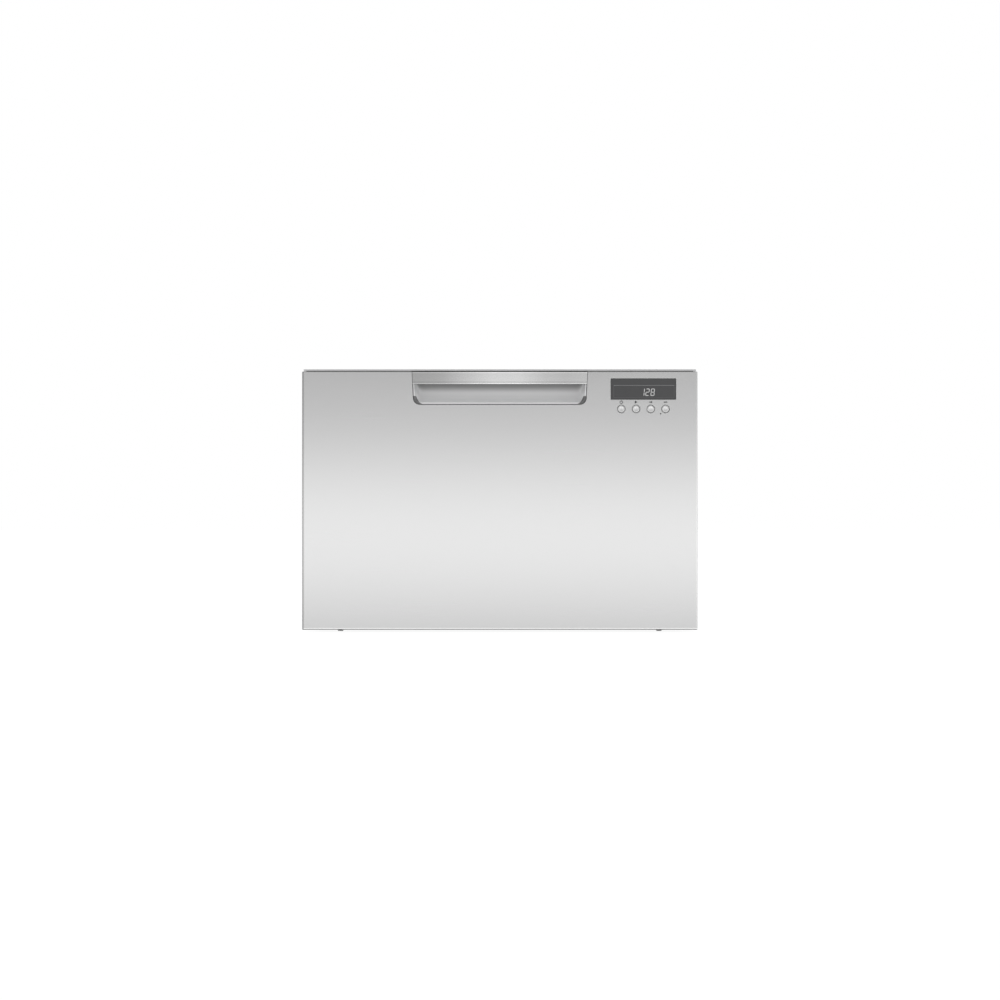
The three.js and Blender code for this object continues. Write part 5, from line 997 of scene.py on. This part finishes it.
# ---------------------------------------------------------------- racks, filters and fasteners
MIDDLE_Y = 16.95  # of the tub
RACK_FLOOR = 138.0
LATTICE_HALF = (240.1, 218.95)  # inside of the rack's walls, each way
RACK_CELLS = 8
RACK_RIB = 4.0
RACK_CORNER = 21.0
TINE_BAR = 6.0
TINE_ROWS = {  # X of the bar, and Y of its first tine
    "tines_outer_left": (-212.0, -131.8),
    "tines_inner_left": (-118.0, -149.3),
    "tines_inner_right": (118.0, -149.3),
    "tines_outer_right": (212.0, -131.8),
}
CUP_SLOT = 14.6
CUP_RACK_HALF = 182.5  # along Y
FOOT_PLACES = {
    "front_foot_left": (-243.9, -214.0),
    "back_foot_left": (-243.9, 238.5),
    "front_foot_right": (243.9, -214.0),
    "back_foot_right": (243.9, 238.5),
}


def rack_lattice():
    """The floor of the base rack: main ribs, finer ribs between them and a border."""
    rule = Rule(
        "rack_lattice",
        Half_X=LATTICE_HALF[0],
        Half_Y=LATTICE_HALF[1],
        Middle=MIDDLE_Y,
        Floor=RACK_FLOOR,
        Depth=7.0,
        Rib=RACK_RIB,
        Fine=1.8,
        Cells=RACK_CELLS,
        Fine_Cells=4,
        Border=3.0,
        Corner=RACK_CORNER,
    )
    size = rule.size
    border = rule.swept(
        rule.rectangle(
            rule.plus(rule.times(size["Half_X"], 2.0), size["Border"]),
            rule.plus(rule.times(size["Half_Y"], 2.0), size["Border"]),
            size["Corner"],
            8,
        ),
        rule.rectangle(size["Border"], size["Depth"], 0.7),
    )
    level = rule.less(size["Floor"], rule.times(size["Depth"], 0.5))
    rule.grown.append(rule.moved(border, rule.point(0.0, size["Middle"], level)))
    for way, across in (("x", "y"), ("y", "x")):
        half, other = (size[f"Half_{axis.upper()}"] for axis in (way, across))
        # Each cell takes a rib with it, so the space between the walls and one more rib is shared out.
        width = rule.plus(rule.times(half, 2.0), size["Rib"])
        pitch = rule.over(width, size["Cells"])
        for fine in (False, True):
            step, count, height = pitch, rule.less(size["Cells"], 1), level
            section = rule.rectangle(size["Rib"], size["Depth"], 0.8)
            if fine:
                step = rule.over(pitch, size["Fine_Cells"])
                count = rule.less(rule.times(size["Cells"], size["Fine_Cells"]), 1)
                section = rule.rectangle(size["Fine"], rule.times(size["Depth"], 0.6), 0.5)
                height = rule.less(level, rule.times(size["Depth"], 0.1))
            first = rule.times(rule.less(count, 1), rule.times(step, -0.5))
            far = rule.plus(other, 1.0)
            ends = [rule.point(**{across: end}) for end in (rule.times(far, -1.0), far)]
            rib = rule.swept(rule.line(*ends), section)
            row = rule.row(rib, count, rule.point(**{way: first}), rule.point(**{way: step}))
            rule.grown.append(rule.moved(row, rule.point(0.0, size["Middle"], height)))
    return rule.close(rack_plastic).run("rack_lattice")


def rack_corners():
    """The closed corners of the lattice, which stand on the pads of the tub."""
    cell = [(2 * half + RACK_RIB) / RACK_CELLS for half in LATTICE_HALF]
    x0, y0 = (half - width + RACK_RIB / 2 for half, width in zip(LATTICE_HALF, cell))
    x1, y1 = (half + 1.0 for half in LATTICE_HALF)
    radius = RACK_CORNER - 1.0
    outline = [(x0, y1), (x0, y0), (x1, y0)]
    for k in range(9):
        turn = k / 8 * math.pi / 2
        outline.append((x1 - radius + radius * math.cos(turn), y1 - radius + radius * math.sin(turn)))
    heights = (RACK_FLOOR - 6.6, RACK_FLOOR - 0.4)
    plates = []
    for side in (-1, 1):
        for end in (-1, 1):
            rings = [[(side * x, MIDDLE_Y + end * y, z) for x, y in outline] for z in heights]
            plates.append(lofted("rack_corner", rings))
    return join(*plates)


def row_of_tines():
    """A bar along Y with tapered, round-tipped tines on it."""
    rule = Rule(
        "row_of_tines",
        Bar_X=0.0,
        First_Y=0.0,
        Axis_Z=RACK_FLOOR + GAP + TINE_BAR / 2,
        Bar=TINE_BAR,
        Tines=10,
        Pitch=35.0,
        Height=74.0,
        Width=4.4,
    )
    size = rule.size
    reach = rule.times(size["Pitch"], rule.less(size["Tines"], 1))
    ends = []
    for y in (rule.less(0.0, size["Bar"]), rule.plus(reach, size["Bar"])):
        ends.append(rule.point(size["Bar_X"], rule.plus(size["First_Y"], y), size["Axis_Z"]))
    radius = rule.times(size["Bar"], 0.5)
    rule.grown.append(rule.swept(rule.line(*ends), rule.circle(radius, 20)))
    upright = rule.line(rule.point(), rule.point(z=size["Height"]))
    stations = rule.add("GeometryNodeResampleCurve", {"Curve": upright, "Count": 11}).outputs[0]
    # The stations crowd towards the tip, where the tine rounds off.
    left = rule.less(1.0, rule.add("GeometryNodeSplineParameter").outputs["Factor"])
    height = rule.times(size["Height"], rule.less(1.0, rule.times(left, left)))
    values = {"Geometry": stations, "Position": rule.point(z=height)}
    crowded = rule.add("GeometryNodeSetPosition", values).outputs[0]
    share = rule.add("GeometryNodeSplineParameter").outputs["Factor"]
    blunt = rule.less(1.0, rule.math("POWER", share, 24.0))
    tip = rule.math("SQRT", rule.math("MAXIMUM", blunt, 0.0))
    taper = rule.less(1.0, rule.times(share, 0.5))
    section = rule.circle(rule.times(size["Width"], 0.5), 12)
    tine = rule.swept(crowded, section, rule.times(taper, tip))
    start = rule.point(size["Bar_X"], size["First_Y"], size["Axis_Z"])
    rule.grown.append(rule.row(tine, size["Tines"], start, rule.point(y=size["Pitch"])))
    return rule.close(rack_plastic)


def bars_round(name, **sizes):
    """Fine upright bars round a level, rounded path, leaning out, with rings across them."""
    rule = Rule(name, Middle=MIDDLE_Y, **sizes)
    size = rule.size
    path = rule.rectangle(size["Width_X"], size["Width_Y"], size["Corner"], 8)
    section = rule.rectangle(size["Bar"], size["Bar"], rule.times(size["Bar"], 0.25), 1)
    top = rule.point(size["Lean"], 0.0, size["Height"])
    upright = rule.swept(rule.line(rule.point(), top), section)
    place = rule.point(0.0, size["Middle"], size["Foot"])
    rule.grown.append(rule.moved(rule.along(upright, path, size["Bars"]), place))
    if sizes["Rings"]:
        ring = rule.swept(path, section)
        step = rule.over(size["Height"], rule.plus(size["Rings"], 1))
        first = rule.point(0.0, size["Middle"], rule.plus(size["Foot"], step))
        rule.grown.append(rule.row(ring, size["Rings"], first, rule.point(z=step)))
    return rule.close(rack_plastic).run(name)


def cup_rack_bars(side):
    """Fine bars across the slots of a cup rack."""
    rule = Rule(
        "cup_rack_bars",
        Near=159.5,
        Far=236.0,
        First=MIDDLE_Y - CUP_RACK_HALF + CUP_SLOT,
        Level=252.0,
        Bars=24,
        Pitch=CUP_SLOT,
        Width=2.0,
        Depth=2.6,
    )
    size = rule.size
    near, far = (rule.times(size[end], float(side)) for end in ("Near", "Far"))
    section = rule.rectangle(size["Width"], size["Depth"], 0.5)
    bar = rule.swept(rule.line(rule.point(x=near), rule.point(x=far)), section)
    start = rule.point(0.0, size["First"], size["Level"])
    rule.grown.append(rule.row(bar, size["Bars"], start, rule.point(y=size["Pitch"])))
    return rule.close(rack_plastic).run("cup_rack_bars")


def filter_bars():
    """Fine bars across each of the slots that fan out in the filter plate."""
    rule = Rule(
        "filter_bars",
        Slots=14,
        First_Slot=33.75,
        Between_Slots=22.5,
        Inner=41.3,
        Pitch=2.45,
        Bars=37,
        Width=1.0,
        Length=7.4,
        Level=99.5,
        Middle=MIDDLE_Y,
    )
    size = rule.size
    half = rule.times(size["Length"], 0.5)
    path = rule.line(rule.point(y=rule.times(half, -1.0)), rule.point(y=half))
    bar = rule.swept(path, rule.rectangle(size["Width"], size["Width"], 0.25, 1))
    slot = rule.row(bar, size["Bars"], rule.point(x=size["Inner"]), rule.point(x=size["Pitch"]))
    centre = rule.point(0.0, size["Middle"], size["Level"])
    values = {"Count": size["Slots"], "Start Location": centre, "Offset": rule.point()}
    centres = rule.add("GeometryNodeMeshLine", values).outputs[0]
    degrees = rule.times(rule.add("GeometryNodeInputIndex").outputs[0], size["Between_Slots"])
    turn = rule.math("RADIANS", rule.plus(degrees, size["First_Slot"]))
    values = {"Points": centres, "Instance": slot, "Rotation": rule.point(z=turn)}
    rule.grown.append(rule.add("GeometryNodeInstanceOnPoints", values).outputs[0])
    return rule.close(grey_plastic).run("filter_bars")


def union_thread():
    """The thread on the water inlet, a ridge that runs round it in a spiral."""
    rule = Rule(
        "union_thread",
        Radius=13.2,
        Pitch=1.8,
        Turns=6.0,
        Ridge=0.9,
        Place_X=184.0,
        Place_Z=62.0,
        End=282.0,
    )
    size = rule.size
    radius, length = size["Radius"], rule.times(size["Pitch"], size["Turns"])
    values = {"Resolution": 28, "Rotations": size["Turns"], "Height": length}
    values |= {"Start Radius": radius, "End Radius": radius}
    spiral = rule.add("GeometryNodeCurveSpiral", values).outputs[0]
    ridge = rule.swept(spiral, rule.circle(rule.times(size["Ridge"], 0.7), 4))
    place = rule.point(size["Place_X"], size["End"], size["Place_Z"])
    values = {"Geometry": ridge, "Translation": place, "Rotation": (math.pi / 2, 0.0, 0.0)}
    rule.grown.append(rule.add("GeometryNodeTransform", values).outputs[0])
    return rule.close(pale_plastic).run("union_thread")


def side_screws():
    """Round-headed screws with a six-sided socket, which hold the wrapper at both its sides."""
    sides = 12
    turns = [2 * math.pi * k / sides for k in range(sides)]
    hexagon = [math.cos(math.pi / 6) / math.cos(turns[k % 2]) for k in range(sides)]
    # Radius and height of each ring of the round head, and then of its socket.
    rings = []
    for r, height in ((4.0, 0.0), (4.0, 0.5), (3.3, 1.05), (2.3, 1.3)):
        rings.append([(height, r * math.cos(t), r * math.sin(t)) for t in turns])
    for r, height in ((1.5, 1.3), (1.5, 0.3)):
        rings.append([(height, r * h * math.cos(t), r * h * math.sin(t)) for h, t in zip(hexagon, turns)])
    head = lofted("screw_head", rings)
    rule = Rule(
        "side_screws",
        Side_X=295.9,
        Up_Y=278.0,
        Up_Z=48.0,
        Up_Pitch=82.0,
        Up_Screws=5,
        Low_Y=-225.0,
        Low_Z=19.0,
        Low_Pitch=115.0,
        Low_Screws=5,
    )
    size = rule.size
    shape = rule.add("GeometryNodeObjectInfo", {"Object": head}).outputs["Geometry"]
    millimetres = (1 / MM, 1 / MM, 1 / MM)
    shape = rule.add("GeometryNodeTransform", {"Geometry": shape, "Scale": millimetres}).outputs[0]
    start = rule.point(size["Side_X"], size["Up_Y"], size["Up_Z"])
    upright = rule.row(shape, size["Up_Screws"], start, rule.point(z=size["Up_Pitch"]))
    start = rule.point(size["Side_X"], size["Low_Y"], size["Low_Z"])
    low = rule.row(shape, size["Low_Screws"], start, rule.point(y=size["Low_Pitch"]))
    for row in (upright, low):
        rule.grown.append(row)
        mirrored = rule.add("GeometryNodeTransform", {"Geometry": row, "Scale": (-1.0, 1.0, 1.0)})
        rule.grown.append(mirrored.outputs[0])
    screws = rule.close(steel_heater).run("side_screws")
    bpy.data.objects.remove(head)
    return screws


def build_foot(node, x, y):
    """A foot with a fluted pad over a narrower sole, which turns to set the height, on a threaded stem."""
    sides, flutes = 96, 24
    pad_top, stem_top = 8.0, 40.0
    core, crest, pitch, turns = 4.4, 5.0, 1.5, 21
    # Each level gives its height, its radius and the depth of the flutes.
    levels = [(0.0, 3.6, 0.0), (0.3, 4.0, 0.0), (1.9, 4.6, 0.0), (2.6, 18.0, 0.1), (3.0, 19.0, 0.6)]
    levels += [(5.0, 19.0, 0.7), (5.6, 18.4, 0.4), (6.6, 15.0, 0.0)]
    levels += [(pad_top, 11.4, 0.0), (pad_top, crest, 0.0)]
    for k in range(turns):
        z = pad_top + k * pitch
        levels += [(z + 0.05, core, 0.0), (z + 0.7, crest, 0.0), (z + 0.85, crest, 0.0)]
    levels += [(stem_top - 0.4, core, 0.0), (stem_top, core - 0.4, 0.0)]
    rings = []
    for z, radius, depth in levels:
        ring = []
        for k in range(sides):
            turn = 2 * math.pi * k / sides
            out = radius - depth * 0.7 * (1 - math.cos(flutes * turn))
            ring.append((x + out * math.cos(turn), y + out * math.sin(turn), z))
        rings.append(ring)
    foot = lofted(f"{node}_threaded", rings)
    stand_in(shade(foot, 35), foot_nylon, node)


def build_spray_arm():
    """A flat arm swept both ways from its hub, with a row of nozzles on each half."""
    low, high = 108.6, 118.6
    full, reach = 192.0, 208.0  # where the sections are whole, and the end of the tip
    width, taper, swept = 30.0, 11.0, 14.0
    steps, sides = 22, 20
    squared_y, squared_z = 0.55, 0.6  # under one, they square off the oval section

    def station(share):
        return full * share, (width - taper * share) / 2, swept * share * share

    stations = [station(k / steps) for k in range(steps + 1)]
    x, half, sweep = stations[-1]
    # The tip closes in two steps, each a share of the way to its end and of the arm's width.
    stations += [(x + (reach - full) * way, half * left, sweep) for way, left in ((0.62, 0.82), (1.0, 0.3))]
    nozzle = [(AXIS, high - 3), (4.6, high - 3), (4.2, high + 0.4), (3.0, high + 2.0)]
    nozzle += [(1.3, high + 2.0), (1.0, high + 0.6), (AXIS, high + 0.6)]
    shells = []
    for side in (1, -1):
        rings = []
        for x, half, sweep in stations:
            ring = []
            for j in range(sides):
                turn = 2 * math.pi * j / sides
                c, s = math.cos(turn), math.sin(turn)
                y = sweep + half * math.copysign(abs(c) ** squared_y, c)
                z = (low + high) / 2 + (high - low) / 2 * math.copysign(abs(s) ** squared_z, s)
                ring.append((side * x, MIDDLE_Y + side * y, z))
            rings.append(ring)
        shells.append(lofted("wing", rings))
        for share in (0.28, 0.42, 0.58, 0.73, 0.88):
            x, _, sweep = station(share)
            shells.append(turned("nozzle", nozzle, (side * x, MIDDLE_Y + side * sweep), "z", 20))
    hub = [(17.5, 105.6), (24.6, 105.6), (25.0, 106.2), (25.0, 119.4), (24.0, 120.4), (18.0, 122.8)]
    hub += [(16.6, 123.4), (6.0, 123.6), (5.4, 122.6), (AXIS, 122.4), (AXIS, 115.6), (17.5, 115.6)]
    hub += [(17.5, 105.6)]
    shells.append(turned("hub", hub, (0.0, MIDDLE_Y)))
    stand_in(shade(join(*shells), 38), FINISHES[slots["spray_arm"]], "spray_arm")


# ---------------------------------------------------------------- the rest of the machine
RAILS = ("outer", "middle", "inner")
RADIUS = 0.4  # of an edge, where RADII names no other
RADII = {
    "chassis_wrapper": 0.5,
    "base_pan": 0.8,
    "front_trim": 0.2,
    "tub": 1.2,
    "lid": 1.2,
    "cutlery_basket": 0.8,
    "detergent_dispenser": 1.0,
}
NODE_FINISH = {"front_trim": trim_plastic}
NODE_FINISH |= {f"{rail}_rail_{side}": rail_steel for rail in RAILS for side in ("left", "right")}

lattice = shade(join(rack_lattice(), rack_corners()), 40)
stand_in(lattice, rack_plastic, "base_rack")
tines = row_of_tines()
for node, (x, first) in TINE_ROWS.items():
    row = shade(tines.run(f"{node}_row", Bar_X=x, First_Y=first), 40)
    stand_in(row, rack_plastic, node)
for node, place in FOOT_PLACES.items():
    build_foot(node, *place)
build_spray_arm()
fit(shade(side_screws(), 30), steel_heater, bodies["chassis_wrapper"])

RIM_BARS = {"Width_X": 484.2, "Width_Y": 441.9, "Corner": 20.0, "Foot": 145.5, "Lean": 2.0}
RIM_BARS |= {"Height": 31.0, "Bar": 2.2, "Bars": 120, "Rings": 0}
BASKET_BARS = {"Width_X": 82.8, "Width_Y": 226.8, "Corner": 9.0, "Foot": 150.0, "Lean": 1.5}
BASKET_BARS |= {"Height": 40.6, "Bar": 1.3, "Bars": 78, "Rings": 3}
FINER_SHAPES = {
    "rack_rim": lambda: bars_round("rim_bars", **RIM_BARS),
    "cutlery_basket": lambda: bars_round("basket_bars", **BASKET_BARS),
    "cup_rack_left": lambda: cup_rack_bars(-1),
    "cup_rack_right": lambda: cup_rack_bars(1),
    "filter_plate": filter_bars,
    "inlet_valve": union_thread,
}
for node, cad in frame["nodes"].items():
    if cad.hide_render:
        continue
    material = NODE_FINISH.get(node, FINISHES[slots[node]])
    added = FINER_SHAPES[node]() if node in FINER_SHAPES else None
    stand_in(softened(node, RADII.get(node, RADIUS), added), material, node)


# ---------------------------------------------------------------- floor, light and camera
def seen_directly(nodes):
    """One for rays that come from the camera, a reflection or a window, and zero for other light."""
    path = nodes.add("ShaderNodeLightPath").outputs
    mirrored = nodes.math("MAXIMUM", path["Is Glossy Ray"], path["Is Transmission Ray"])
    return nodes.math("MAXIMUM", path["Is Camera Ray"], mirrored)


def build_stage():
    """A pale floor and a white room, brighter to the camera than the light that they give."""
    far, top = 20000, -0.2
    floor = box_mesh("floor", (-far, far), (-far, far), (-20, top))
    material, nodes, shader, place = new_material("pale_floor")
    tone = nodes.between(nodes.noise(place, 2.0), grey(0.86), grey(0.88))
    nodes.put(shader, {"Base Color": tone, "Roughness": 0.6})
    glow = nodes.add("ShaderNodeEmission", {"Color": grey(1.0), "Strength": 1.12}).outputs[0]
    share = nodes.times(seen_directly(nodes), 0.84)
    mixed = nodes.add("ShaderNodeMixShader", {0: share, 1: shader.outputs[0], 2: glow})
    nodes.put(material.node_tree.nodes["Material Output"], {"Surface": mixed.outputs[0]})
    floor.data.materials.append(material)

    world = bpy.data.worlds.new("studio")
    bpy.context.scene.world = world
    world.use_nodes = True
    nodes = Nodes(world.node_tree)
    background = world.node_tree.nodes["Background"]
    strength = nodes.spread(seen_directly(nodes), 0.58, 1.0)
    nodes.put(background, {"Strength": strength, "Color": grey(1.0)})


def soft_box(name, place, aim, width, height, power):
    """A rectangular lamp, in metres and watts, that the camera doesn't see."""
    data = bpy.data.lights.new(name, "AREA")
    data.shape = "RECTANGLE"
    data.size, data.size_y = width, height
    data.energy = power
    lamp = placed(name, data)
    lamp.location = place
    lamp.rotation_euler = (Vector(aim) - Vector(place)).to_track_quat("-Z", "Y").to_euler()
    lamp.visible_camera = False


build_stage()
soft_box("front_soft_box", (0, -1.5, 0.118), (0, -0.285, 0.118), width=3.2, height=0.30, power=5.2)
soft_box("upper_soft_box", (0, -1.0, 2.2), (0, 0, 0.2), width=2.4, height=1.6, power=6)

# Pixels of the photograph: its size, the drawer front's width, the front's middle and its top edge.
PIXELS, FRONT_PIXELS, MIDDLE_COLUMN, TOP_ROW = 1000, 395.5, 499.8, 371.6
PIXEL = WIDTH / FRONT_PIXELS  # millimetres at the drawer front
SENSOR = 36.0
camera_data = bpy.data.cameras.new("camera")
camera = placed("camera", camera_data)
distance = 6.0
centre_x = (PIXELS / 2 - MIDDLE_COLUMN) * PIXEL * MM
centre_z = (FRONT_TOP - (PIXELS / 2 - TOP_ROW) * PIXEL) * MM
camera.location = (centre_x, FRONT * MM - distance, centre_z)
camera.rotation_euler = (math.pi / 2, 0, 0)
camera_data.sensor_width = SENSOR
camera_data.lens = SENSOR * distance / (PIXELS * PIXEL * MM)
camera_data.clip_end = 50.0
bpy.context.scene.camera = camera
bpy.context.scene.view_settings.view_transform = "Standard"
